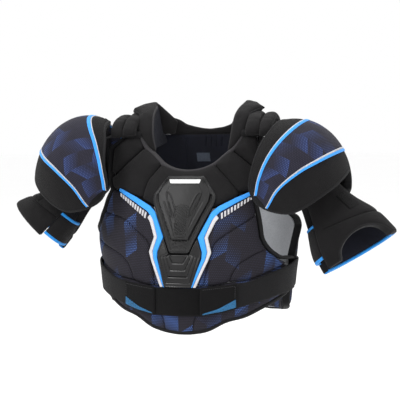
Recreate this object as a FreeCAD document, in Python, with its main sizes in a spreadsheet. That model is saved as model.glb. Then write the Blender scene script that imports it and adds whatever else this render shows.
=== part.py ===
import FreeCAD, Part
import Sketcher, PartDesign
import math, os

V = FreeCAD.Vector

# Ice hockey shoulder pads, senior size, standing as if worn: +X is the wearer's
# left, -Y the front, +Z up.  The origin is the middle of the seat that rests on
# the wearer's shoulders.  Millimetres throughout.
doc = FreeCAD.newDocument("hockey_shoulder_pads")
sheet = doc.addObject("Spreadsheet::Sheet", "dims")
_row = [0]


def dim(alias, value):
    _row[0] += 1
    sheet.set("A%d" % _row[0], alias)
    sheet.set("B%d" % _row[0], str(value))
    sheet.setAlias("B%d" % _row[0], alias)


# Torso form: the surface the garment lies on, as ellipses at eight heights
# (height, half width, front, back).
LEVELS = [(-345, 145, -112, 112), (-242, 154, -113, 117), (-170, 166, -95, 109), (-110, 183, -70, 97),
          (-61, 195, -47, 84), (-20, 200, -30, 70), (25, 200, -14, 56), (70, 196, -2, 48)]
for i, (z, a, f, b) in enumerate(LEVELS):
    dim("form_height_%d" % i, z)
    dim("form_half_width_%d" % i, a)
    dim("form_half_depth_%d" % i, (b - f) / 2)
    dim("form_middle_%d" % i, (b + f) / 2)

# Layers of the garment, as distances outward from the form.
LAYER = {"skin": 0, "liner_face": 4, "pad_back": 4.3, "pad_face": 16, "sewn_back": 16.3, "trim_face": 18.3, "hook_back": 18.5,
         "band_face": 19.6, "tab_back": 19.9, "plate_face": 22, "crest_back": 22.3, "crest_face": 26}
for k, v in LAYER.items():
    dim("layer_" + k, v)
dim("outline_depth", 260)

# Shoulder cap: a moulded ellipsoidal dome, and its layers measured inward.
CAP = {"cap_centre_x": 183, "cap_centre_y": -18, "cap_centre_z": -70, "cap_radius_x": 96, "cap_radius_y": 104,
       "cap_radius_z": 115, "cap_cover": 1.5, "cap_shell_in": 4.2, "cap_foam_in": 9.5, "cap_gap": 0.3}
for k, v in CAP.items():
    dim(k, v)

# Upper arm guard: a flared oval tube along its own axis, at four stations
# (station, half width, half thickness).
# Arm guard rings: distance down the arm, half width, half thickness and how far
# the ring's centre stands towards the outside of the arm. The two guards hang
# differently, the wearer's right one shorter and further out.
STATIONS = {
    "left": [(62, 36, 33, -4), (105, 44, 38, -8), (135, 56, 44, -8), (165, 68, 48, -4), (193, 77, 50, 0)],
    "right": [(45, 33, 31, -6), (80, 38, 36, -10), (108, 50, 42, -10), (135, 62, 46, -5), (158, 70, 49, 0)],
}
for side in STATIONS:
    for i, (t, a, b, c) in enumerate(STATIONS[side]):
        dim("arm_%s_station_%d" % (side, i), t)
        dim("arm_%s_half_width_%d" % (side, i), a)
        dim("arm_%s_half_thick_%d" % (side, i), b)
        dim("arm_%s_offset_%d" % (side, i), c)
dim("arm_shell", 4.5)
dim("arm_lining_in", 9.5)
dim("arm_gap", 0.3)
dim("yoke_inner_x", 96)
dim("yoke_width", 42)
dim("collar_rear_thick", 9.5)
dim("roll_width", 20)
dim("label_width", 25)
dim("label_height", 16)
dim("label_thick", 0.8)
dim("web_width", 34)
dim("web_thick", 3)
doc.recompute()


def expr(obj, prop, text):
    obj.setExpression(prop, text)


def polygon_body(name, points, plane="XZ_Plane", length="dims.outline_depth", reverse=False, middle=False):
    """A prism: a closed outline on one of the body's origin planes, padded."""
    body = doc.addObject("PartDesign::Body", name)
    sk = body.newObject("Sketcher::SketchObject", name + "_outline")
    sk.AttachmentSupport = [(next(o for o in body.Origin.OriginFeatures if o.Role == plane), "")]
    sk.MapMode = "FlatFace"
    n = len(points)
    for i in range(n):
        (x0, y0), (x1, y1) = points[i], points[(i + 1) % n]
        sk.addGeometry(Part.LineSegment(V(x0, y0, 0), V(x1, y1, 0)), False)
    for i in range(n):
        sk.addConstraint(Sketcher.Constraint("Coincident", i, 2, (i + 1) % n, 1))
    pad = body.newObject("PartDesign::Pad", name + "_pad")
    pad.Profile = sk
    expr(pad, "Length", length)
    pad.Reversed = reverse
    if middle:
        pad.Midplane = True
    doc.recompute()
    return body


_forms = {}


def form(layer):
    """Solid bounded by the torso form moved outward to one layer."""
    if layer in _forms:
        return _forms[layer]
    rings = []
    for i, (z, a, f, b) in enumerate(LEVELS):
        e = doc.addObject("Part::Ellipse", "ring_%s_%d" % (layer, i))
        expr(e, "MajorRadius", "dims.form_half_width_%d + dims.layer_%s" % (i, layer))
        expr(e, "MinorRadius", "dims.form_half_depth_%d + dims.layer_%s" % (i, layer))
        expr(e, "Placement.Base.y", "dims.form_middle_%d" % i)
        expr(e, "Placement.Base.z", "dims.form_height_%d" % i)
        rings.append(e)
    loft = doc.addObject("Part::Loft", "form_" + layer)
    loft.Sections = rings
    loft.Solid = True
    loft.Ruled = False
    doc.recompute()
    _forms[layer] = loft
    return loft


def boolean(kind, name, a, b):
    o = doc.addObject("Part::" + kind, name)
    o.Base = a
    o.Tool = b
    o.Refine = False
    return o


nodes = []


def keep(obj, label):
    obj.Label = label
    nodes.append(obj)
    return obj


def sewn(label, outline, inner, outer, back=False):
    """A layer of the garment: the space between two layers, inside an outline
    seen from the front (x, z) and cut straight through."""
    prism = polygon_body(label + "_prism", outline, reverse=back)
    slab = boolean("Common", label + "_slab", prism, form(outer))
    return keep(boolean("Cut", label + "_layer", slab, form(inner)), label)


def mirrored(obj, label, shift=None):
    m = doc.addObject("Part::Mirroring", label + "_mirror")
    m.Source = obj
    m.Base = V(0, 0, 0)
    m.Normal = V(1, 0, 0)
    if shift is not None:
        m.Placement = FreeCAD.Placement(shift, FreeCAD.Rotation())
    return keep(m, label)


def both(points):
    """Outline symmetric about x = 0 from its +x half, listed from the centre
    line round to the centre line."""
    left = [(-x, z) for x, z in reversed(points) if abs(x) > 1e-9]
    return list(points) + left


# ---------------------------------------------------------------- front
front_half = [(0, -52), (24, -49), (45, -41), (63, -23), (77, -14), (93, 12), (119, 5), (131, -8), (134, -30), (134, -58),
              (132, -82), (134, -105), (142, -139), (150, -166), (158, -188), (164, -206), (163, -256), (150, -264), (130, -276),
              (104, -288), (75, -294), (43, -310), (0, -314)]
sewn("front_liner", both(front_half), "skin", "liner_face")
sewn("sternum_pad", both([(0, -110), (49, -110), (46, -120), (29, -156), (41, -182), (26, -236), (0, -236)]),
     "pad_back", "pad_face")
sewn("upper_chest_pad_middle", both([(0, -52), (24, -49), (44, -41.5), (92, -84), (90, -93), (52, -108.5), (0, -108.5)]),
     "pad_back", "pad_face")
chest = sewn("chest_pad_left", [(122, -88), (90, -98), (58, -112), (38, -158), (50, -182), (40, -215), (33, -236),
                                (60, -236), (87, -230), (117, -227), (140, -219), (157, -212), (163, -205),
                                (157, -188), (149, -166), (141, -139), (133, -105), (131, -88)], "pad_back", "pad_face")
pad2 = sewn("upper_chest_pad_left", [(47, -40), (63, -25), (77, -17), (106, -36), (132.5, -57), (131, -81), (119, -82),
                                     (95, -85)], "pad_back", "pad_face")
pad1 = sewn("shoulder_front_pad_left", [(79, -15), (95, 10), (117, 4), (130, -8), (133, -30), (133, -54)], "pad_back", "pad_face")
sewn("belly_pad", both([(0, -238), (60, -238), (88, -232), (118, -229), (141, -221), (158, -213.5), (163, -208),
                        (162, -256), (150, -262), (130, -274), (104, -286), (75, -292), (43, -308), (0, -312)]),
     "pad_back", "pad_face")
trim = sewn("accent_trim_left", [(121, -79), (88, -91), (54, -104), (49, -116), (30, -156), (42, -182), (26, -236),
                                 (34, -236), (51, -182), (38, -158), (57, -114), (90, -98), (122, -86)],
            "sewn_back", "trim_face")
sewn("sternum_upper_plate", both([(0, -58.5), (30, -58.5), (54, -88), (52, -105), (17, -183), (0, -183)]),
     "sewn_back", "plate_face")
sewn("sternum_lower_plate", both([(0, -185), (18, -185), (25, -166), (29, -161), (37, -182), (23, -237), (0, -237)]),
     "sewn_back", "plate_face")
sewn("sternum_crest", both([(0, -71), (22, -71), (33, -86), (10, -170), (0, -170)]), "crest_back", "crest_face")
sewn("badge_plate", both([(0, -61), (27, -61), (23, -69), (0, -69)]), "crest_back", "crest_face")
sewn("front_loop_landing", both([(0, -240), (58, -240), (58, -277), (36, -283), (0, -283)]), "sewn_back", "trim_face")

# belt: an elastic band each side, its pull tab and the hook patch under the tab
band = sewn("belt_band_left", [(60, -239), (87, -233), (117, -230), (140, -222), (160, -214), (174, -207), (192, -205),
                               (192, -252), (174, -254), (150, -258), (120, -265), (93, -272), (60, -279)],
            "sewn_back", "band_face")
tab = sewn("belt_tab_left", [(38, -238), (93, -232), (93, -272), (38, -283)], "tab_back", "plate_face")

hook = boolean("Common", "belt_hook_slab", polygon_body("belt_hook_left_prism", [(38, -242), (57.5, -240.5), (57.5, -277), (38, -281)]),
               form("band_face"))
hook = keep(boolean("Cut", "belt_hook_left_layer", hook, form("hook_back")), "belt_hook_left")

# shoulder yoke: the strap of foam over the shoulder, with the rolls sewn on
# top of it and the standing neck collar along its inner edge
ARC = [(-28, 18), (-24, 22), (-8, 31), (15, 35), (35, 31), (49, 22)]
yoke_profile = [(-30, 13)] + ARC + [(49, 14), (35, 23), (15, 27), (-6, 23), (-17, 17), (-19, 13)]


def across(label, profile, x0, width):
    body = polygon_body(label + "_body", profile, plane="YZ_Plane", length=width)
    body.Placement = FreeCAD.Placement(V(x0, 0, 0), FreeCAD.Rotation())
    return keep(body, label)


yoke = across("yoke_left", yoke_profile, 96, "dims.yoke_width")
lift = [(y, z + 0.4) for y, z in ARC[1:-1]] + [(47, 23.8)]
# The collar board rises from the neck edge in front and leans back over the
# rolls to a peak; its rear half stands behind and runs down to the back neck.
lean = [(-31, -18), (-30, 0), (-26, 20), (-14, 42), (4, 55), (20, 61), (36.6, 65), (36.6, 56), (26, 53), (8, 48.5),
        (-6, 38), (-17, 18), (-20, 0), (-22, -18)]
lean_body = polygon_body("neck_collar_lean", lean, plane="YZ_Plane", length="2 * dims.outline_depth", middle=True)
wing = polygon_body("neck_collar_outline", [(64, -18), (69, 10), (71, 30), (74, 50), (79, 70), (90, 70), (104, 64), (116, 56),
                                            (114, 50.5), (95.3, 50.5), (95.3, 18.5), (92, 13.8), (76, -12.2), (66, -18)],
                    length="2 * dims.outline_depth", middle=True)
collar = keep(boolean("Common", "neck_collar_left_board", wing, lean_body), "neck_collar_left")
collar_rear = polygon_body("collar_rear_left_body", [(46, 31), (58, 42), (69, 55), (78, 67), (88, 67), (102, 62), (114, 55),
                                                     (112, 50.5), (95.3, 50.5), (95.3, 36), (72, 32), (50, 30)],
                           length="dims.collar_rear_thick", reverse=True)
collar_rear.Placement = FreeCAD.Placement(V(0, 37, 0), FreeCAD.Rotation())
keep(collar_rear, "collar_rear_left")
roll_profile = lift + [(47.5, 32), (35, 43), (15, 47), (-8, 43), (-26, 32), (-33, 20), (-31.5, 16), (-29, 18.6)]
roll_in = across("shoulder_roll_inner_left", roll_profile, 96, "dims.roll_width")
roll_out = across("shoulder_roll_outer_left", roll_profile, 118, "dims.roll_width")

# webbing from the yoke out under the cap, which carries the cap and the arm guard
web = doc.addObject("Part::Box", "shoulder_web_left_box")
web.Length = 46
expr(web, "Width", "dims.web_width")
expr(web, "Height", "dims.web_thick")
web.Placement = FreeCAD.Placement(V(138.6, -25, 14), FreeCAD.Rotation(V(0, 1, 0), 22))
keep(web, "shoulder_web_left")

# ---------------------------------------------------------------- back
sewn("back_liner", both([(0, 7), (59, 7), (71, 15), (103, 13), (105, -20), (108, -60), (115, -100), (125, -122), (149, -131),
                         (166, -137), (175, -152), (178, -212), (175, -240), (169, -284), (149, -296), (119, -304), (0, -310)]),
     "skin", "liner_face", back=True)
sewn("back_panel", both([(0, 8), (59.8, 8), (72, 16), (104, 14), (106, -20), (109, -60), (116, -100), (126, -123), (150, -132),
                         (168, -138), (178, -153), (182, -212), (178, -240), (170, -285), (150, -298), (120, -306), (0, -312)]),
     "pad_back", "pad_face", back=True)
sewn("back_collar", both([(0, 8.4), (59.6, 8.4), (71.2, 16.6), (75, 24), (66, 30.4), (52, 29), (36, 24.5), (0, 19.5)]),
     "pad_back", "pad_face", back=True)
sewn("spine_pad", both([(0, -16), (24, -16), (30, -60), (30, -190), (22, -232), (0, -232)]), "sewn_back", "plate_face", back=True)
rear = sewn("belt_rear_left", [(120, -209), (150, -207), (192, -205), (192, -252), (150, -258), (120, -262)],
            "sewn_back", "band_face", back=True)
label = doc.addObject("Part::Box", "size_label_box")
expr(label, "Length", "dims.label_width")
expr(label, "Width", "dims.label_thick")
expr(label, "Height", "dims.label_height")
label.Placement = FreeCAD.Placement(V(-17.5, 74.6, -41), FreeCAD.Rotation(V(1, 0, 0), 18))
keep(label, "size_label")

# ---------------------------------------------------------------- shoulder caps
cap_outline = [(131, 40), (131, 60), (232, 60), (292, 10), (276, -50), (258, -72), (241, -86), (224, -99), (204, -111),
               (188, -116), (165, -113), (145, -106), (130, -94), (122, -72), (123, -58), (128, -33), (134, 2), (135, 25)]
cap_prism = polygon_body("cap_prism", cap_outline, length="2 * dims.outline_depth", middle=True)
# The dome is cut obliquely, so its rear edge sits further out than its front edge.
dim("cap_cut_turn", 17)
turned = FreeCAD.Rotation(V(0, 0, 1), -17)
pivot = V(150, -95, 0)
cap_prism.Placement = FreeCAD.Placement(pivot - turned.multVec(V(150, 0, 0)), turned)


def dome(name, inward):
    e = doc.addObject("Part::Ellipsoid", name)
    e.Angle1, e.Angle2, e.Angle3 = -90, 90, 360
    expr(e, "Radius1", "dims.cap_radius_z - (%s)" % inward)
    expr(e, "Radius2", "dims.cap_radius_x - (%s)" % inward)
    expr(e, "Radius3", "dims.cap_radius_y - (%s)" % inward)
    expr(e, "Placement.Base.x", "dims.cap_centre_x")
    expr(e, "Placement.Base.y", "dims.cap_centre_y")
    expr(e, "Placement.Base.z", "dims.cap_centre_z")
    doc.recompute()
    return e


def cap_layer(label, out, inn):
    slab = boolean("Common", label + "_slab", cap_prism, dome(label + "_out", out))
    return keep(boolean("Cut", label + "_layer", slab, dome(label + "_in", inn)), label)


cap_cover = cap_layer("cap_cover_left", "0", "dims.cap_cover")
cap_shell = cap_layer("cap_shell_left", "dims.cap_cover + dims.cap_gap", "dims.cap_shell_in")
cap_liner = cap_layer("cap_liner_left", "dims.cap_shell_in + dims.cap_gap", "dims.cap_foam_in")

# ---------------------------------------------------------------- arm guards
# Local frame of a guard: local z runs down the arm from the shoulder point,
# local x to the outside of the arm, local y to the front. Both are made on the
# wearer's left; the right one is then mirrored.
def arm_frame(down, outside, shoulder):
    d = V(*down)
    d.normalize()
    mx = V(*outside)
    mx = mx - d * mx.dot(d)
    mx.normalize()
    ny = d.cross(mx)
    p = V(*shoulder)
    return FreeCAD.Placement(FreeCAD.Matrix(mx.x, ny.x, d.x, p.x, mx.y, ny.y, d.y, p.y, mx.z, ny.z, d.z, p.z, 0, 0, 0, 1))


def tube(side, name, inward):
    rings = []
    for i in range(len(STATIONS[side])):
        e = doc.addObject("Part::Ellipse", "%s_ring_%d" % (name, i))
        expr(e, "MajorRadius", "dims.arm_%s_half_width_%d - (%s)" % (side, i, inward))
        expr(e, "MinorRadius", "dims.arm_%s_half_thick_%d - (%s)" % (side, i, inward))
        expr(e, "Placement.Base.x", "dims.arm_%s_offset_%d" % (side, i))
        expr(e, "Placement.Base.z", "dims.arm_%s_station_%d" % (side, i))
        rings.append(e)
    loft = doc.addObject("Part::Loft", name)
    loft.Sections = rings
    loft.Solid = True
    loft.Ruled = False
    doc.recompute()
    return loft


def sector(name, a0, a1, r=150):
    """Wedge of the tube between two angles about its axis."""
    c = lambda a: (r * math.cos(math.radians(a)), r * math.sin(math.radians(a)))
    pts = [(0, 0), c(a0)] + ([c((a0 + a1) / 2)] if a1 - a0 > 60 else []) + [c(a1)]
    return polygon_body(name, pts, plane="XY_Plane", length="dims.outline_depth")


def slab(name, t0, t1):
    b = doc.addObject("Part::Box", name)
    b.Length, b.Width, b.Height = 300, 260, t1 - t0
    b.Placement = FreeCAD.Placement(V(-150, -130, t0), FreeCAD.Rotation())
    return b


def arm_set(side, place, arch_at, strap_t, patch_t):
    """One guard: outer wall, lining, closing strap, its landing patch and the
    webbing it hangs from."""
    pre = "arm_%s_" % side
    inner_side = sector(pre + "inner_side", 148.5, 227.5)
    arch = doc.addObject("Part::Ellipsoid", pre + "front_arch")
    arch.Radius1, arch.Radius2, arch.Radius3 = 27, 54, 44
    arch.Angle1, arch.Angle2, arch.Angle3 = -90, 90, 360
    arch.Placement = FreeCAD.Placement(V(0, 52, arch_at), FreeCAD.Rotation())

    def layer(label, out, inn):
        a = boolean("Cut", label + "_wall", tube(side, label + "_outer", out), tube(side, label + "_inner", inn))
        b = boolean("Cut", label + "_open", a, inner_side)
        c = boolean("Cut", label + "_arched", b, arch)
        c.Placement = place
        return c

    guard = layer(pre + "guard", "0", "dims.arm_shell")
    lining = layer(pre + "lining", "dims.arm_shell + dims.arm_gap", "dims.arm_lining_in")
    strap_wall = boolean("Cut", pre + "strap_wall", tube(side, pre + "strap_outer", "0.5"), tube(side, pre + "strap_inner", "dims.arm_shell"))
    strap_sector = boolean("Common", pre + "strap_sector", strap_wall, sector(pre + "strap_side", 150, 226))
    strap = boolean("Common", pre + "strap_length", strap_sector, slab(pre + "strap_slab", *strap_t))
    strap.Placement = place
    patch_wall = boolean("Cut", pre + "patch_wall", tube(side, pre + "patch_outer", "-1.8"), tube(side, pre + "patch_inner", "-0.3"))
    patch_sector = boolean("Common", pre + "patch_sector", patch_wall, sector(pre + "patch_side", 84, 118))
    patch = boolean("Common", pre + "patch_length", patch_sector, slab(pre + "patch_slab", *patch_t))
    patch.Placement = place
    hanger = doc.addObject("Part::Box", pre + "hanger_box")
    expr(hanger, "Length", "dims.web_thick")
    expr(hanger, "Width", "dims.web_width")
    hanger.Height = 50
    first = STATIONS[side][0]
    hanger.Placement = place.multiply(FreeCAD.Placement(V(first[3] + first[1] - 8.5, -17, first[0] - 51), FreeCAD.Rotation()))
    return guard, lining, strap, patch, hanger


parts = ("guard", "lining", "strap", "loop_patch", "hanger")
left_set = arm_set("left", arm_frame((0.548, -0.155, -0.822), (0.68, 0.58, 0.36), (180, -8, -28)), 196, (122, 176), (104, 146))
right_set = arm_set("right", arm_frame((0.66, -0.16, -0.734), (0.64, 0.58, 0.48), (180, -8, -44)), 164, (98, 148), (84, 122))
for obj, label in zip(left_set, parts):
    keep(obj, "arm_%s_left" % label)

# ---------------------------------------------------------------- wearer's right side
for obj in (chest, pad2, pad1, trim, band, tab, hook, yoke, collar, collar_rear, roll_in, roll_out, web, rear, cap_cover, cap_shell,
            cap_liner):
    mirrored(obj, obj.Label.replace("_left", "_right"))
for obj, label in zip(right_set, parts):
    mirrored(obj, "arm_%s_right" % label)

doc.recompute()
bad = [o.Label for o in doc.Objects if {"Invalid", "Error"} & set(o.State)]
if bad:
    raise RuntimeError("features failed: " + ", ".join(bad))
for o in nodes:
    if o.Shape.isNull() or not o.Shape.isValid() or o.Shape.Volume <= 0:
        raise RuntimeError("bad shape: " + o.Label)
os.makedirs("parts", exist_ok=True)
for o in nodes:
    o.Shape.exportStep("parts/%s.step" % o.Label)
    bb = o.Shape.BoundBox
    print("%-28s solids %d vol %9.0f  x %7.1f %7.1f  y %7.1f %7.1f  z %7.1f %7.1f" % (
        o.Label, len(o.Shape.Solids), o.Shape.Volume, bb.XMin, bb.XMax, bb.YMin, bb.YMax, bb.ZMin, bb.ZMax))
print("nodes", len(nodes))
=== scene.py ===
import bpy, bmesh, math
import numpy as np
from mathutils import Vector, Matrix, noise
from mathutils.geometry import delaunay_2d_cdt


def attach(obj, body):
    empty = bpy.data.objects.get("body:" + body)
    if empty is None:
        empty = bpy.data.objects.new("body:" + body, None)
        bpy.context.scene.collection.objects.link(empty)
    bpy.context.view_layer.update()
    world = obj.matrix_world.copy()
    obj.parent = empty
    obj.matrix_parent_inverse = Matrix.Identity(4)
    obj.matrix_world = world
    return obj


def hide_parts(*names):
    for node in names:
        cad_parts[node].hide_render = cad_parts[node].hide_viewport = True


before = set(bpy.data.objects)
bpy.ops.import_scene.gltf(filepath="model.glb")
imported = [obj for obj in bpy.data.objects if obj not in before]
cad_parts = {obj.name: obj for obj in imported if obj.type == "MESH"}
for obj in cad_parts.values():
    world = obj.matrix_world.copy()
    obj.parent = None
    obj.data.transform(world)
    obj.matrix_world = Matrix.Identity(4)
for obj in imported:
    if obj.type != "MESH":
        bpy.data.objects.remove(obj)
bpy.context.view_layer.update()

scene = bpy.context.scene
rng = np.random.default_rng(7)
MM = 0.001

# ------------------------------------------------------------------ camera
az, el, roll = math.radians(15), math.radians(5), math.radians(-1.0)
back = Vector((math.sin(az) * math.cos(el), -math.cos(az) * math.cos(el), math.sin(el)))
right = Vector((math.cos(az), math.sin(az), 0))
up = Vector((-math.sin(el) * math.sin(az), math.sin(el) * math.cos(az), math.cos(el)))
r2 = right * math.cos(roll) + up * math.sin(roll)
u2 = up * math.cos(roll) - right * math.sin(roll)
cam = bpy.data.objects.new("camera", bpy.data.cameras.new("camera"))
scene.collection.objects.link(cam)
cam.data.lens = 89.93
cam.data.sensor_width = 36
m = Matrix((r2, u2, back)).transposed().to_4x4()
m.translation = Vector((0.0065, 0, -0.105)) + back * 1.75
cam.matrix_world = m
scene.camera = cam
scene.view_settings.view_transform = "Standard"
scene.view_settings.look = "None"


# ------------------------------------------------------------------ the torso form
class Spline:
    """Natural cubic spline through a few points."""

    def __init__(self, x, y):
        x, y = np.asarray(x, float), np.asarray(y, float)
        n = len(x)
        A = np.eye(n)
        r = np.zeros(n)
        h = np.diff(x)
        for i in range(1, n - 1):
            A[i, i - 1], A[i, i], A[i, i + 1] = h[i - 1], 2 * (h[i - 1] + h[i]), h[i]
            r[i] = 6 * ((y[i + 1] - y[i]) / h[i] - (y[i] - y[i - 1]) / h[i - 1])
        self.x, self.y, self.m, self.h = x, y, np.linalg.solve(A, r), h

    def __call__(self, v):
        v = np.asarray(v, float)
        i = np.clip(np.searchsorted(self.x, v) - 1, 0, len(self.h) - 1)
        h, x0, x1 = self.h[i], self.x[i], self.x[i + 1]
        a, b = (x1 - v) / h, (v - x0) / h
        return a * self.y[i] + b * self.y[i + 1] + ((a**3 - a) * self.m[i] + (b**3 - b) * self.m[i + 1]) * h * h / 6


LEVELS = [(-345, 145, -112, 112), (-242, 154, -113, 117), (-170, 166, -95, 109), (-110, 183, -70, 97),
          (-61, 195, -47, 84), (-20, 200, -30, 70), (25, 200, -14, 56), (70, 196, -2, 48)]
_z = [l[0] for l in LEVELS]
fA = Spline(_z, [l[1] for l in LEVELS])
fB = Spline(_z, [(l[3] - l[2]) / 2 for l in LEVELS])
fC = Spline(_z, [(l[3] + l[2]) / 2 for l in LEVELS])
SR = 175.0


def form_map(base, behind=False):
    """(arc length round the body, height) and distance off the form, to a place."""
    sg = 1 if behind else -1

    def f(P, h):
        s, z = P[:, 0], P[:, 1]
        o = base + h
        th = s / SR
        return np.stack([(fA(z) + o) * np.sin(th), fC(z) + sg * (fB(z) + o) * np.cos(th), z], 1) * MM

    return f


def dom(points, o=16):
    """Outline seen from the front (x, z) to (arc length, height)."""
    p = np.asarray(points, float)
    return np.stack([SR * np.arcsin(np.clip(p[:, 0] / (fA(p[:, 1]) + o), -1, 1)), p[:, 1]], 1)


# ------------------------------------------------------------------ plane geometry
def dens(poly, step, closed=True):
    p = np.asarray(poly, float)
    q = np.vstack([p, p[:1]]) if closed else p
    out = []
    for a, b in zip(q[:-1], q[1:]):
        n = max(1, int(round(np.linalg.norm(b - a) / step)))
        for k in range(n):
            out.append(a + (b - a) * k / n)
    if not closed:
        out.append(q[-1])
    return np.array(out)


def soften(poly, r=5, closed=True, skip=()):
    """Round the corners of a polyline."""
    p = np.asarray(poly, float)
    n = len(p)
    out = []
    for i in range(n):
        if (not closed and i in (0, n - 1)) or i in skip:
            out.append(p[i])
            continue
        a, b, c = p[i - 1], p[i], p[(i + 1) % n]
        la, lc = np.linalg.norm(a - b), np.linalg.norm(c - b)
        ra, rc = min(r, la * 0.48), min(r, lc * 0.48)
        p0, p1 = b + (a - b) / la * ra, b + (c - b) / lc * rc
        for t in (0, 0.2, 0.4, 0.6, 0.8, 1.0):
            out.append((1 - t) ** 2 * p0 + 2 * t * (1 - t) * b + t * t * p1)
    return np.array(out)


def curve(points, n=10, closed=False):
    """Centripetal-like smooth curve through points."""
    p = np.asarray(points, float)
    if closed:
        p = np.vstack([p[-1:], p, p[:2]])
    else:
        p = np.vstack([2 * p[0] - p[1], p, 2 * p[-1] - p[-2]])
    out = []
    for i in range(1, len(p) - 2):
        for k in range(n):
            t = k / n
            out.append(0.5 * ((2 * p[i]) + (p[i + 1] - p[i - 1]) * t + (2 * p[i - 1] - 5 * p[i] + 4 * p[i + 1] - p[i + 2]) * t * t
                              + (3 * p[i] - p[i - 1] - 3 * p[i + 1] + p[i + 2]) * t**3))
    if not closed:
        out.append(p[-2])
    return np.array(out)


def seg_dist(P, poly, closed=False):
    a = np.asarray(poly, float)
    b = np.roll(a, -1, 0) if closed else a[1:]
    a = a if closed else a[:-1]
    best = np.full(len(P), 1e9)
    d = b - a
    L = np.maximum((d * d).sum(1), 1e-12)
    for k in range(0, len(P), 4000):
        q = P[k:k + 4000, None, :] - a[None]
        t = np.clip((q * d[None]).sum(2) / L, 0, 1)
        r = q - t[..., None] * d[None]
        best[k:k + 4000] = np.sqrt((r * r).sum(2).min(1))
    return best


def inside(P, poly):
    x, y = P[:, 0], P[:, 1]
    a = np.asarray(poly, float)
    b = np.roll(a, -1, 0)
    c = np.zeros(len(P), bool)
    for (x0, y0), (x1, y1) in zip(a, b):
        if y0 == y1:
            continue
        c ^= ((y0 > y) != (y1 > y)) & (x < (x1 - x0) * (y - y0) / (y1 - y0) + x0)
    return c


def area(poly):
    x, y = np.asarray(poly).T
    return 0.5 * np.sum(x * np.roll(y, -1) - np.roll(x, -1) * y)


def along(poly, dist):
    """Inward offset points of a closed outline."""
    p = np.asarray(poly, float)
    t = np.roll(p, -1, 0) - np.roll(p, 1, 0)
    t /= np.maximum(np.linalg.norm(t, axis=1, keepdims=True), 1e-9)
    n = np.stack([-t[:, 1], t[:, 0]], 1) * (1 if area(p) > 0 else -1)
    q = p + n * dist
    keep = (seg_dist(q, p, True) > dist * 0.93) & inside(q, p)
    return q[keep]


def beside(line, dist):
    p = np.asarray(line, float)
    t = np.gradient(p, axis=0)
    t /= np.maximum(np.linalg.norm(t, axis=1, keepdims=True), 1e-9)
    n = np.stack([-t[:, 1], t[:, 0]], 1)
    return np.vstack([p + n * dist, p - n * dist])


# ------------------------------------------------------------------ meshes
def make(name, verts, faces, doms=None, smooth=55, fix=True):
    me = bpy.data.meshes.new(name)
    me.from_pydata([tuple(map(float, v)) for v in verts], [], faces)
    if doms is not None:
        at = me.attributes.new("dom", "FLOAT_VECTOR", "POINT")
        at.data.foreach_set("vector", (np.asarray(doms, np.float32) * MM).ravel())
    if fix:
        bm = bmesh.new()
        bm.from_mesh(me)
        bmesh.ops.remove_doubles(bm, verts=bm.verts, dist=1e-6)
        bmesh.ops.recalc_face_normals(bm, faces=bm.faces)
        bm.to_mesh(me)
        bm.free()
    me.shade_smooth()
    if smooth:
        me.set_sharp_from_angle(angle=math.radians(smooth))
    me.update()
    ob = bpy.data.objects.new(name, me)
    scene.collection.objects.link(ob)
    return ob


def finish_piece(ob, mat, body, rep=()):
    ob.data.materials.clear()
    ob.data.materials.append(mat)
    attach(ob, body)
    if rep:
        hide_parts(*rep)
    return ob


def wrinkle(P, amp, scale, seed=0.0):
    """Soft cloth unevenness at places P (metres)."""
    if amp == 0:
        return np.zeros(len(P))
    return np.array([noise.noise(Vector(p) * scale + Vector((seed, seed * 1.7, -seed))) +
                     0.45 * noise.noise(Vector(p) * scale * 2.3 + Vector((9 + seed, 2, seed)))
                     for p in P]) * amp


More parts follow.
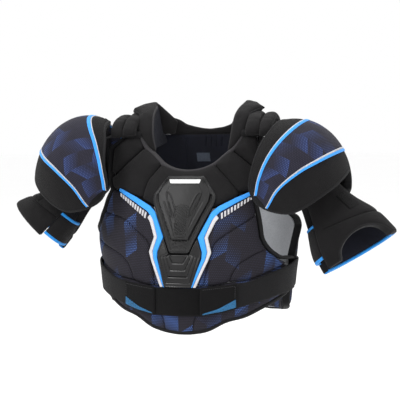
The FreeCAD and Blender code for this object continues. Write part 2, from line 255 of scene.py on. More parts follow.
class Panel:
    """A sewn panel: an outline on a surface, crowned between its edge and its seams."""

    def __init__(self, name, outline, fmap, thick=11, edge=2.5, R=9, step=2.6, seams=(), under=None, crown=0.0,
                 wr=(0.35, 22), seed=0.0, height=None, rings=True, bottom=0.0):
        o = dens(outline, step * 0.8)
        if area(o) < 0:
            o = o[::-1]
        self.outline, self.fmap, self.thick, self.edge, self.R = o, fmap, thick, edge, R
        self.seams = [(dens(s, 1.6, closed=False), w, k) for s, w, k in seams]
        self.crown, self.wr, self.seed, self.height = crown, wr, seed, height
        lo, hi = o.min(0), o.max(0)
        pts = []
        if rings:
            for d in ((0.8, 2.0, 3.8) if R > 3 else (0.7,)):
                if d < R * 1.3:
                    pts.append(along(o, d))
        for s, w, k in self.seams:
            pts.append(s)
            for d in (0.8, 1.9, 3.4):
                if d < w * 1.2:
                    pts.append(beside(s, d))
        nx, ny = int((hi[0] - lo[0]) / step) + 2, int((hi[1] - lo[1]) / (step * 0.866)) + 2
        gx, gy = np.meshgrid(np.arange(nx), np.arange(ny))
        g = np.stack([lo[0] + (gx + 0.5 * (gy % 2)) * step, lo[1] + gy * step * 0.866], 2).reshape(-1, 2)
        pts.append(g)
        q = np.vstack(pts)
        q = q[inside(q, o)]
        q = q[seg_dist(q, o, True) > 0.5]
        # thin out points that crowd each other, first come first kept
        cell = {}
        keep = []
        c = max(0.55, step * 0.36)
        for i, (x, y) in enumerate(q):
            k = (int(x // c), int(y // c))
            if k in cell:
                continue
            cell[k] = i
            keep.append(i)
        q = q[keep]
        nb = len(o)
        P = np.vstack([o, q])
        res = delaunay_2d_cdt([Vector(p) for p in P], [], [list(range(nb))], 1, 1e-5)
        P = np.array([tuple(v) for v in res[0]])
        F = [tuple(f) for f in res[2]]
        self.P, self.F = P, F
        h = self.H(P)
        top = fmap(P, h)
        if wr[0]:
            d = seg_dist(P, o, True)
            fade = np.clip(d / max(R, 4), 0, 1)
            for s, w, k in self.seams:
                fade = np.minimum(fade, 0.25 + 0.75 * np.clip(seg_dist(P, s) / w, 0, 1))
            h = h + wrinkle(top, wr[0], wr[1], seed) * fade
            top = fmap(P, h)
        self.h = h
        if under:
            d = seg_dist(P, o, True)
            e = np.clip(d / under[1], 0, 1)
            hb = bottom - under[0] * np.sqrt(np.maximum(0, 1 - (1 - e) ** 2))
        else:
            hb = np.full(len(P), float(bottom))
        bot = fmap(P, hb)
        n = len(P)
        count = {}
        for f in F:
            for a, b in zip(f, f[1:] + f[:1]):
                k = (min(a, b), max(a, b))
                count[k] = None if k in count else (a, b)
        sides = [(a, b) for v in count.values() if v for a, b in (v,)]
        faces = [tuple(f) for f in F] + [tuple(i + n for i in reversed(f)) for f in F] + [(b, a, a + n, b + n) for a, b in sides]
        doms = np.vstack([np.column_stack([P, h]), np.column_stack([P, hb])])
        self.ob = make(name, np.vstack([top, bot]), faces, doms)

    def H(self, P):
        d = seg_dist(P, self.outline, True)
        e = np.clip(d / self.R, 0, 1)
        h = self.edge + (self.thick - self.edge) * np.sqrt(np.maximum(0, 1 - (1 - e) ** 2))
        if self.crown:
            h = h + self.crown * np.clip(d / 45, 0, 1)
        for s, w, k in self.seams:
            t = np.clip(seg_dist(P, s) / w, 0, 1)
            h = h - k * (1 - np.sqrt(np.maximum(0, 1 - (1 - t) ** 2)))
        if self.height:
            h = self.height(P, h, d)
        return h

    def place(self, line, lift=0.0):
        """Places and outward normals on the face, along a line in its domain."""
        line = np.asarray(line, float)
        h = self.H(line)
        a, b = self.fmap(line, h + lift), self.fmap(line, h + lift + 1.0)
        n = b - a
        return a, n / np.linalg.norm(n, axis=1, keepdims=True)

    def rim(self, line, frac=0.5):
        line = np.asarray(line, float)
        h = np.full(len(line), self.edge * frac)
        a, b = self.fmap(line, h), self.fmap(line, h + 1.0)
        n = b - a
        return a, n / np.linalg.norm(n, axis=1, keepdims=True)


def frames(pts, nrm, closed):
    if closed:
        t = np.roll(pts, -1, 0) - np.roll(pts, 1, 0)
    else:
        t = np.gradient(pts, axis=0)
    t /= np.maximum(np.linalg.norm(t, axis=1, keepdims=True), 1e-9)
    b = np.cross(t, nrm)
    b /= np.maximum(np.linalg.norm(b, axis=1, keepdims=True), 1e-9)
    n = np.cross(b, t)
    return t, b, n


def sweep(name, pts, nrm, w, t, closed=False, n=14, power=2.6, taper=0.0, jitter=0.0):
    """A bound edge or tape: a rounded section, half width w across the surface
    and half thickness t off it (mm), along a line."""
    pts = np.asarray(pts, float)
    T, B, N = frames(pts, nrm, closed)
    m_ = len(pts)
    L = np.concatenate([[0], np.cumsum(np.linalg.norm(np.diff(pts, axis=0), axis=1))]) / MM
    W = np.full(m_, float(w)) if np.isscalar(w) else np.asarray(w, float)
    TT = np.full(m_, float(t)) if np.isscalar(t) else np.asarray(t, float)
    if taper and not closed:
        e = np.clip(np.minimum(L, L[-1] - L) / taper, 0.02, 1)
        W, TT = W * np.sqrt(1 - (1 - e) ** 2 * 0.9), TT * np.sqrt(1 - (1 - e) ** 2 * 0.9)
    if jitter:
        W = W * (1 + jitter * np.sin(L * 0.9 + 1.3) * np.sin(L * 0.23))
    ang = np.arange(n) * 2 * math.pi / n
    cs = np.sign(np.cos(ang)) * np.abs(np.cos(ang)) ** (2 / power)
    sn = np.sign(np.sin(ang)) * np.abs(np.sin(ang)) ** (2 / power)
    V = (pts[:, None] + B[:, None] * (W[:, None] * cs)[..., None] * MM + N[:, None] * (TT[:, None] * sn)[..., None] * MM)
    per = ang * (np.mean(W) + np.mean(TT)) / 2
    D = np.stack([np.repeat(L, n), np.tile(per, m_), np.zeros(m_ * n)], 1)
    V = V.reshape(-1, 3)
    F = []
    for i in range(m_ if closed else m_ - 1):
        j = (i + 1) % m_
        for k in range(n):
            k2 = (k + 1) % n
            F.append((i * n + k, i * n + k2, j * n + k2, j * n + k))
    if not closed:
        F.append(tuple(range(n - 1, -1, -1)))
        F.append(tuple((m_ - 1) * n + k for k in range(n)))
    return make(name, V, F, D, smooth=60)


def stitches(name, pts, nrm, pitch=3.4, length=2.3, r=0.34, closed=False):
    """A row of separate thread stitches lying on a surface."""
    pts = np.asarray(pts, float)
    if closed:
        pts, nrm = np.vstack([pts, pts[:1]]), np.vstack([nrm, nrm[:1]])
    L = np.concatenate([[0], np.cumsum(np.linalg.norm(np.diff(pts, axis=0), axis=1))]) / MM
    c = np.arange(pitch / 2, L[-1], pitch)
    V, F, D = [], [], []
    for ci in c:
        a = np.array([np.interp(ci - length / 2, L, pts[:, k]) for k in range(3)])
        b = np.array([np.interp(ci + length / 2, L, pts[:, k]) for k in range(3)])
        n = np.array([np.interp(ci, L, nrm[:, k]) for k in range(3)])
        n /= np.linalg.norm(n)
        t = b - a
        ln = np.linalg.norm(t)
        if ln < 1e-7:
            continue
        t /= ln
        s = np.cross(t, n)
        base = len(V)
        for q, (u, rr, lift) in enumerate(((0, 0.35, -0.15), (0.25, 1, 0.25), (0.75, 1, 0.25), (1, 0.35, -0.15))):
            for k in range(6):
                an = k * math.pi / 3
                V.append(a + t * ln * u + n * (lift * r + math.sin(an) * r * rr) * MM + s * math.cos(an) * r * rr * MM)
                D.append((ci, u, k))
        for q in range(3):
            for k in range(6):
                k2 = (k + 1) % 6
                F.append((base + q * 6 + k, base + q * 6 + k2, base + q * 6 + 6 + k2, base + q * 6 + 6 + k))
        F.append(tuple(base + k for k in range(5, -1, -1)))
        F.append(tuple(base + 18 + k for k in range(6)))
    return make(name, V, F, D, smooth=0, fix=False) if V else None


# ------------------------------------------------------------------ materials
def lin(r, g, b):
    f = lambda c: ((c / 255 + 0.055) / 1.055) ** 2.4 if c > 10 else c / 255 / 12.92
    return (f(r), f(g), f(b), 1)


class Mat:
    def __init__(self, name, rough=0.8, sheen=0.0, sheen_rough=0.5, spec=0.35, coat=0.0, coat_rough=0.3, metal=0.0):
        self.m = bpy.data.materials.new(name)
        self.m.use_nodes = True
        self.t = self.m.node_tree
        self.t.nodes.clear()
        self.out = self.t.nodes.new("ShaderNodeOutputMaterial")
        self.b = self.t.nodes.new("ShaderNodeBsdfPrincipled")
        self.link(self.b.outputs[0], self.out.inputs["Surface"])
        i = self.b.inputs
        i["Roughness"].default_value = rough
        i["Sheen Weight"].default_value = sheen
        i["Sheen Roughness"].default_value = sheen_rough
        i["Specular IOR Level"].default_value = spec
        i["Coat Weight"].default_value = coat
        i["Coat Roughness"].default_value = coat_rough
        i["Metallic"].default_value = metal

    def link(self, a, b):
        self.t.links.new(a, b)

    def node(self, kind, **kw):
        n = self.t.nodes.new(kind)
        for k, v in kw.items():
            setattr(n, k, v)
        return n

    def dom(self):
        n = self.node("ShaderNodeAttribute", attribute_name="dom", attribute_type="GEOMETRY")
        return n.outputs["Vector"]

    def math(self, op, a, b=None, c=None, clamp=False):
        n = self.node("ShaderNodeMath", operation=op, use_clamp=clamp)
        for k, v in enumerate((a, b, c)):
            if v is None:
                continue
            if isinstance(v, (int, float)):
                n.inputs[k].default_value = v
            else:
                self.link(v, n.inputs[k])
        return n.outputs[0]

    def xyz(self, vec):
        n = self.node("ShaderNodeSeparateXYZ")
        self.link(vec, n.inputs[0])
        return n.outputs[0], n.outputs[1], n.outputs[2]

    def vec(self, x, y, z=0.0):
        n = self.node("ShaderNodeCombineXYZ")
        for k, v in enumerate((x, y, z)):
            if isinstance(v, (int, float)):
                n.inputs[k].default_value = v
            else:
                self.link(v, n.inputs[k])
        return n.outputs[0]

    def noise(self, vec, scale, detail=3, rough=0.55):
        n = self.node("ShaderNodeTexNoise")
        n.inputs["Scale"].default_value = scale
        n.inputs["Detail"].default_value = detail
        n.inputs["Roughness"].default_value = rough
        if vec is not None:
            self.link(vec, n.inputs["Vector"])
        return n.outputs["Fac"]

    def place(self):
        return self.node("ShaderNodeTexCoord").outputs["Object"]

    def ramp(self, fac, stops):
        n = self.node("ShaderNodeValToRGB")
        e = n.color_ramp.elements
        e[0].position, e[0].color = stops[0]
        e[1].position, e[1].color = stops[-1]
        for p, c in stops[1:-1]:
            x = e.new(p)
            x.color = c
        self.link(fac, n.inputs[0])
        return n.outputs[0]

    def mix(self, fac, a, b, kind="MIX"):
        n = self.node("ShaderNodeMix", data_type="RGBA", blend_type=kind)
        if isinstance(fac, (int, float)):
            n.inputs[0].default_value = fac
        else:
            self.link(fac, n.inputs[0])
        for k, v in ((6, a), (7, b)):
            if isinstance(v, tuple):
                n.inputs[k].default_value = v
            else:
                self.link(v, n.inputs[k])
        return n.outputs[2]

    def bump(self, height, dist, strength=1.0, prev=None):
        n = self.node("ShaderNodeBump")
        n.inputs["Strength"].default_value = strength
        n.inputs["Distance"].default_value = dist
        self.link(height, n.inputs["Height"])
        if prev is not None:
            self.link(prev, n.inputs["Normal"])
        return n.outputs[0]

    def colour(self, sock):
        self.link(sock, self.b.inputs["Base Color"])

    def normal(self, sock):
        self.link(sock, self.b.inputs["Normal"])

    def rough(self, sock):
        self.link(sock, self.b.inputs["Roughness"])


def grey(v, a=1):
    return (v, v, v, a)


def fabric(name, dark, light, pitch=0.9, bump=0.00018, rough=0.85, sheen=0.25, mottle=0.5, ribs=None, twill=False, soft=0.0006, spec=0.25, wa=0.16):
    """Woven or knitted cloth: threads from its own coordinates, uneven dye and
    soft surface unevenness."""
    M = Mat(name, rough=rough, sheen=sheen, spec=spec)
    x, y, z = M.xyz(M.dom())
    k = 2 * math.pi / (pitch * MM)
    if ribs == "x":
        w = M.math("SINE", M.math("MULTIPLY", x, k))
        w2 = M.math("SINE", M.math("MULTIPLY", y, k * 1.7))
        weave = M.math("MULTIPLY_ADD", w2, 0.25, w)
    elif ribs == "y":
        w = M.math("SINE", M.math("MULTIPLY", y, k))
        w2 = M.math("SINE", M.math("MULTIPLY", x, k * 1.7))
        weave = M.math("MULTIPLY_ADD", w2, 0.25, w)
    elif twill:
        a = M.math("ADD", x, y)
        w = M.math("SINE", M.math("MULTIPLY", a, k))
        b = M.math("SINE", M.math("MULTIPLY", M.math("SUBTRACT", x, y), k * 2))
        weave = M.math("MULTIPLY_ADD", b, 0.35, w)
    else:
        weave = M.math("MULTIPLY", M.math("SINE", M.math("MULTIPLY", x, k)), M.math("SINE", M.math("MULTIPLY", y, k)))
    n1 = M.noise(M.place(), 38, 4)
    n2 = M.noise(M.place(), 420, 2)
    f = M.math("MULTIPLY_ADD", M.math("SUBTRACT", n1, 0.5), mottle * 2, 0.5)
    f = M.math("MULTIPLY_ADD", weave, wa, f)
    f = M.math("MULTIPLY_ADD", M.math("SUBTRACT", n2, 0.5), 0.9, f, clamp=True)
    M.colour(M.mix(f, dark, light))
    nb = M.bump(n1, soft, 0.6)
    nb = M.bump(n2, 0.0003, 0.5, nb)
    M.normal(M.bump(weave, bump, 0.9, nb))
    M.rough(M.math("MULTIPLY_ADD", n2, 0.12, rough - 0.06))
    return M.m


black = fabric("black_polyester", lin(10, 9, 10), lin(24, 23, 24), pitch=1.1, mottle=0.35, sheen=0.03, spec=0.14)
black_soft = fabric("black_brushed_knit", lin(11, 10, 11), lin(27, 26, 27), pitch=1.5, mottle=0.3, sheen=0.05, spec=0.14)
black_dark = fabric("black_fine_weave", lin(7, 7, 8), lin(18, 17, 18), pitch=0.9, mottle=0.3, sheen=0.02, spec=0.12)
navy = fabric("dark_navy_knit", lin(8, 9, 15), lin(20, 22, 34), pitch=1.3, mottle=0.5, sheen=0.03, rough=0.7, spec=0.14)
bind_black = fabric("black_binding_tape", lin(9, 9, 10), lin(23, 22, 24), pitch=1.0, ribs="x", mottle=0.2, sheen=0.03, rough=0.7, spec=0.18)
bind_grey = fabric("charcoal_neck_tape", lin(26, 25, 27), lin(54, 52, 55), pitch=1.1, ribs="x", mottle=0.2, sheen=0.05, rough=0.7)
bind_blue = fabric("blue_binding_tape", lin(16, 112, 190), lin(36, 152, 232), pitch=1.1, ribs="x", mottle=0.2, sheen=0.1, rough=0.55)
blue = fabric("blue_print_tape", lin(36, 134, 224), lin(62, 160, 244), pitch=0.9, mottle=0.18, sheen=0.08, rough=0.5, bump=0.0001)
white = fabric("white_print_tape", lin(172, 170, 172), lin(210, 208, 210), pitch=0.9, mottle=0.2, sheen=0.1, rough=0.55, bump=0.0001)
greyt = fabric("grey_print_tape", lin(150, 152, 156), lin(205, 206, 210), pitch=0.9, mottle=0.3, sheen=0.1, rough=0.6, bump=0.0001)
liner_m = fabric("grey_liner_knit", lin(150, 152, 156), lin(196, 198, 202), pitch=1.6, mottle=0.35, sheen=0.3)
elastic = fabric("ribbed_elastic", lin(9, 9, 10), lin(25, 24, 26), pitch=1.6, ribs="y", mottle=0.2, bump=0.0003, rough=0.75, sheen=0.03, spec=0.15)
loop_m = fabric("loop_pile", lin(4, 4, 5), lin(15, 14, 15), pitch=1.3, ribs="x", mottle=0.3, bump=0.0004, rough=0.95, sheen=0.05, spec=0.08)
label_m = fabric("label_cloth", lin(44, 50, 60), lin(74, 82, 96), pitch=0.6, mottle=0.3, sheen=0.1, rough=0.6)
thread = fabric("black_thread", lin(34, 33, 35), lin(66, 65, 68), pitch=0.5, mottle=0.2, sheen=0.1, rough=0.6)


def patterned(name, cell=30.0, dot=3.2, dark=(27, 25, 30), mid=(23, 33, 66), hi=(88, 122, 186), turn=math.pi / 2, amount=1.0, cover=0.6):
    """Near-black knitted mesh printed with slanted navy patches that fade
    across themselves, over a fine net of pale dots."""
    M = Mat(name, rough=0.8, sheen=0.04, spec=0.15)
    x, y, z = M.xyz(M.dom())
    c, s = math.cos(turn), math.sin(turn)
    xr = M.math("ADD", M.math("MULTIPLY", x, c), M.math("MULTIPLY", y, s))
    yr = M.math("SUBTRACT", M.math("MULTIPLY", y, c), M.math("MULTIPLY", x, s))
    k = 1 / (cell * MM)
    u = M.math("MULTIPLY", xr, k)
    v = M.math("MULTIPLY", yr, k * 1.1547)
    flip = M.math("GREATER_THAN", M.math("FRACT", M.math("MULTIPLY", M.math("FLOOR", v), 0.5)), 0.25)
    lean = M.math("SUBTRACT", 0.5, flip)
    a = M.math("SUBTRACT", u, M.math("MULTIPLY", M.math("FRACT", v), lean))
    ia, ib = M.math("FLOOR", a), M.math("FLOOR", v)
    fa, fb = M.math("FRACT", a), M.math("FRACT", v)
    wn = M.node("ShaderNodeTexWhiteNoise", noise_dimensions="3D")
    M.link(M.vec(ia, ib, 0.0), wn.inputs["Vector"])
    r = wn.outputs["Value"]
    wn2 = M.node("ShaderNodeTexWhiteNoise", noise_dimensions="3D")
    M.link(M.vec(ib, 3.0, ia), wn2.inputs["Vector"])
    r2_ = wn2.outputs["Value"]
    pick = M.math("GREATER_THAN", r2_, 0.5)
    inv = M.math("SUBTRACT", 1.0, fa)
    g = M.math("ADD", M.math("MULTIPLY", fa, pick), M.math("MULTIPLY", inv, M.math("SUBTRACT", 1.0, pick)))
    g = M.math("POWER", g, 1.3)
    on = M.math("MULTIPLY", M.math("SUBTRACT", r, cover), 6.0, clamp=True)
    tone = M.math("MULTIPLY", on, M.math("MULTIPLY_ADD", g, 0.95, 0.08), clamp=True)
    # fine net
    kd = 1 / (dot * MM)
    du, dv = M.math("MULTIPLY", x, kd), M.math("MULTIPLY", y, kd * 1.1547)
    da = M.math("SUBTRACT", M.math("FRACT", M.math("ADD", du, M.math("MULTIPLY", M.math("FLOOR", dv), 0.5))), 0.5)
    db = M.math("SUBTRACT", M.math("FRACT", dv), 0.5)
    rr = M.math("SQRT", M.math("ADD", M.math("MULTIPLY", da, da), M.math("MULTIPLY", db, db)))
    hole = M.math("MULTIPLY", M.math("SUBTRACT", 0.36, rr), 5.0, clamp=True)
    n1 = M.noise(M.place(), 60, 4)
    n2 = M.noise(M.place(), 500, 2)
    base = M.mix(M.math("MULTIPLY_ADD", M.math("SUBTRACT", n1, 0.5), 0.8, 0.4, clamp=True), lin(*[int(c_ * 0.72) for c_ in dark]), lin(*[int(c_ * 1.25) for c_ in dark]))
    col = M.mix(M.math("MULTIPLY", tone, 0.95 * amount), base, lin(*mid))
    col = M.mix(M.math("MULTIPLY", hole, 0.3), col, lin(74, 71, 92))
    col = M.mix(M.math("MULTIPLY", hole, M.math("MULTIPLY", tone, 0.9 * amount), clamp=True), col, lin(*hi))
    M.colour(col)
    nb = M.bump(n1, 0.0006, 0.5)
    nb = M.bump(n2, 0.0002, 0.5, nb)
    M.normal(M.bump(hole, 0.0003, 0.8, nb))
    M.rough(M.math("MULTIPLY_ADD", n2, 0.15, 0.72))
    return M.m


teal = fabric("teal_hatch_print", lin(8, 16, 24), lin(40, 116, 168), pitch=2.4, twill=True, mottle=0.1, sheen=0.03, rough=0.6, bump=0.0001, wa=0.5)
pattern = patterned("navy_patch_mesh")
pattern_cap = patterned("navy_patch_mesh_cap", cell=32, dark=(29, 28, 38), mid=(26, 38, 78), hi=(84, 104, 158), turn=math.pi / 2 + 0.45, amount=0.8, cover=0.5)


def plastic(name, dark, light, rough=0.34, pitch=2.3, weave=0.0003, coat=0.25):
    """Moulded satin plastic with a fine diagonal woven texture and uneven tone."""
    M = Mat(name, rough=rough, spec=0.28, coat=coat, coat_rough=0.2)
    x, y, z = M.xyz(M.dom())
    k = 2 * math.pi / (pitch * MM)
    a = M.math("SINE", M.math("MULTIPLY", M.math("ADD", x, y), k * 0.7071))
    b = M.math("SINE", M.math("MULTIPLY", M.math("SUBTRACT", x, y), k * 0.7071))
    w = M.math("MULTIPLY", a, b)
    n1 = M.noise(M.place(), 90, 4)
    n2 = M.noise(M.place(), 900, 2)
    f = M.math("MULTIPLY_ADD", w, 0.3, M.math("MULTIPLY_ADD", n1, 0.5, 0.2), clamp=True)
    M.colour(M.mix(f, dark, light))
    M.rough(M.math("MULTIPLY_ADD", n1, 0.2, rough - 0.1))
    nb = M.bump(n2, 0.00008, 0.4)
    M.normal(M.bump(w, weave, 0.8, nb))
    return M.m


carbon = plastic("moulded_charcoal", lin(4, 4, 5), lin(15, 14, 15), rough=0.34, coat=0.12)
gloss_edge = plastic("moulded_charcoal_smooth", lin(6, 6, 7), lin(20, 19, 20), rough=0.3, weave=0.00003, coat=0.15)
shell_m = plastic("cap_shell_sheet", lin(40, 40, 42), lin(60, 60, 62), rough=0.5, weave=0.00005)


def rubber(name, dark, light, rough=0.5):
    M = Mat(name, rough=rough, spec=0.4)
    n1 = M.noise(M.place(), 160, 4)
    n2 = M.noise(M.place(), 1200, 2)
    M.colour(M.mix(n1, dark, light))
    M.rough(M.math("MULTIPLY_ADD", n1, 0.2, rough - 0.1))
    M.normal(M.bump(n2, 0.00015, 0.5))
    return M.m


white_rubber = rubber("white_badge_rubber", lin(214, 214, 214), lin(244, 244, 244), 0.4)


def foam(name, dark, light):
    M = Mat(name, rough=0.95, spec=0.2)
    v = M.node("ShaderNodeTexVoronoi")
    v.inputs["Scale"].default_value = 900
    M.link(M.place(), v.inputs["Vector"])
    n1 = M.noise(M.place(), 50, 4)
    M.colour(M.mix(M.math("MULTIPLY_ADD", v.outputs["Distance"], 0.6, M.math("MULTIPLY", n1, 0.5), clamp=True), dark, light))
    M.normal(M.bump(v.outputs["Distance"], 0.0002, 0.6))
    return M.m


foam_m = foam("charcoal_foam", lin(44, 44, 47), lin(74, 74, 78))


# ------------------------------------------------------------------ cloth under pressure
def puff(ob, cap_mm=2.6, pressure=4.0):
    """Let the cover of a padded piece settle as cloth round its filling; each
    point may move only a little from where it was sewn."""
    me = ob.data
    n0 = len(me.vertices)
    start = np.empty(n0 * 3)
    me.vertices.foreach_get("co", start)
    start = start.reshape(-1, 3)
    c = ob.modifiers.new("cloth", "CLOTH")
    st = c.settings
    st.quality = 4
    st.mass = 0.3
    st.air_damping = 4
    st.tension_stiffness = 12
    st.compression_stiffness = 6
    st.shear_stiffness = 5
    st.bending_stiffness = 0.4
    st.use_pressure = True
    st.uniform_pressure_force = pressure
    st.effector_weights.gravity = 0
    st.shrink_min = -0.035
    c.collision_settings.use_collision = False
    c.collision_settings.use_self_collision = False
    c.point_cache.frame_start = 1
    c.point_cache.frame_end = 14
    for fr in range(1, 13):
        scene.frame_set(fr)
    dg = bpy.context.evaluated_depsgraph_get()
    ev = ob.evaluated_get(dg)
    got = np.empty(n0 * 3)
    ev.data.vertices.foreach_get("co", got)
    got = got.reshape(-1, 3)
    ob.modifiers.remove(c)
    scene.frame_set(1)
    d = got - start
    d[~np.isfinite(d).all(1)] = 0
    # the move is smoothed over neighbours, and no point goes further than the cap
    nE = len(me.edges)
    E = np.empty(nE * 2, int)
    me.edges.foreach_get("vertices", E)
    E = E.reshape(-1, 2)
    cnt = np.bincount(E.ravel(), minlength=n0)[:, None]
    for _ in range(2):
        acc = np.zeros_like(d)
        np.add.at(acc, E[:, 0], d[E[:, 1]])
        np.add.at(acc, E[:, 1], d[E[:, 0]])
        d = 0.5 * d + 0.5 * acc / np.maximum(cnt, 1)
    L = np.linalg.norm(d, axis=1, keepdims=True)
    d *= np.minimum(1, cap_mm * MM / np.maximum(L, 1e-9))
    me.vertices.foreach_set("co", (start + d).ravel())
    me.update()


# ------------------------------------------------------------------ garment, front
SIDES = (("left", 1), ("right", -1))


def flipx(pts, sg):
    p = np.array(pts, float)
    p[:, 0] *= sg
    return p if sg > 0 else p[::-1]


def both(points):
    left = [(-x, z) for x, z in reversed(points) if abs(x) > 1e-9]
    return list(points) + left


def halves(r, l):
    """Outline from its two halves, each listed from the top middle round to the
    bottom middle with x away from the middle."""
    return list(r) + [(-x, z) for x, z in reversed(l) if abs(x) > 1e-9]


neck_line = [(93, 12), (85, -2), (77, -13.5), (63, -25), (45, -40), (24, -49), (0, -52)]
top_half = [(0, -52), (24, -49), (45, -40.5), (63, -25), (77, -13.5), (93, 12)]
SIDE_EDGE = {
    1: [(119, 5), (123, -20), (122, -50), (120, -80), (118, -92), (117, -103), (122, -120), (126, -140), (129, -160), (135, -174),
        (144, -186), (156, -197), (168, -208)],
    -1: [(116, 10), (131, -2), (145, -13), (146, -29), (145, -56), (140, -76), (138, -84), (145, -98), (151, -115), (157, -127),
         (164, -142), (174, -158), (178, -180), (176, -197), (172, -205)]}
LOW_EDGE = {1: [(168, -256), (152, -265), (130, -276), (104, -288), (75, -295), (43, -310), (0, -314)],
            -1: [(169, -225), (165, -249), (150, -258), (130, -269), (104, -281), (75, -289), (43, -306), (0, -314)]}
whole = halves(top_half + SIDE_EDGE[1] + LOW_EDGE[1], top_half + SIDE_EDGE[-1] + LOW_EDGE[-1])
p = Panel("front_liner_cloth", soften(dom(whole, 2), 8), form_map(0), thick=4, edge=3, R=4, step=5, wr=(0.3, 20))
finish_piece(p.ob, liner_m, "front", ["front_liner"])

base_r = [(0, -53), (24, -50), (45, -42), (63, -27), (77, -16), (93, 8), (118, 3), (121, -20), (120, -50), (118, -80), (116, -90), (90, -100), (56, -112), (0, -112)]
base_l = [(0, -53), (24, -50), (45, -42), (63, -27), (77, -16), (93, 8), (115, 7), (129, -4), (143, -14), (144, -29), (143, -56), (138, -76), (135, -86), (104, -93), (60, -110), (0, -112)]
p = Panel("upper_ground", soften(dom(halves(base_r, base_l)), 4), form_map(3.6), thick=4.6, edge=3.4, R=4, step=4, wr=(0.3, 24))
finish_piece(p.ob, black_dark, "front")

# sternum base pad, seen as the dark ground between the plates and the trim
p = Panel("sternum_base", soften(dom(both([(0, -109), (51, -109), (47, -120), (30, -156), (42, -182), (27, -236.5), (0, -236.5)])), 3),
          form_map(4.3), thick=11.2, edge=9, R=5, step=3.2)
finish_piece(p.ob, black_dark, "front", ["sternum_pad"])

mid_r = [(0, -52), (24, -49), (43.5, -40), (86, -83), (90, -88), (88, -94), (52, -108.7), (0, -108.7)]
mid_l = [(0, -52), (24, -49), (46, -40), (69, -67), (75, -88), (76, -97), (52, -107.5), (0, -108.7)]
p = Panel("upper_chest_middle", soften(dom(halves(mid_r, mid_l)), 5), form_map(4.3), thick=12, edge=4, R=17, step=2.4, wr=(1.1, 26), seed=1)
puff(p.ob)
finish_piece(p.ob, black_soft, "front", ["upper_chest_pad_middle"])

belly_top = [(0, -237.5), (60, -237.5), (88, -231.5), (118, -228.5), (141, -220.5), (160, -213), (168, -209)]
belly = halves(belly_top + LOW_EDGE[1], belly_top + LOW_EDGE[-1])
bs = [curve(dom([(sgx * 30, -285), (sgx * 26, -298), (sgx * 24, -312)]), 6) for sgx in (1, -1)]
p_belly = Panel("belly_panel", soften(dom(belly), 8), form_map(4.3), thick=9, edge=5.5, R=10, step=3,
                seams=[(b, 5, 3.2) for b in bs], wr=(0.7, 18), seed=4)
finish_piece(p_belly.ob, pattern, "front", ["belly_pad"])

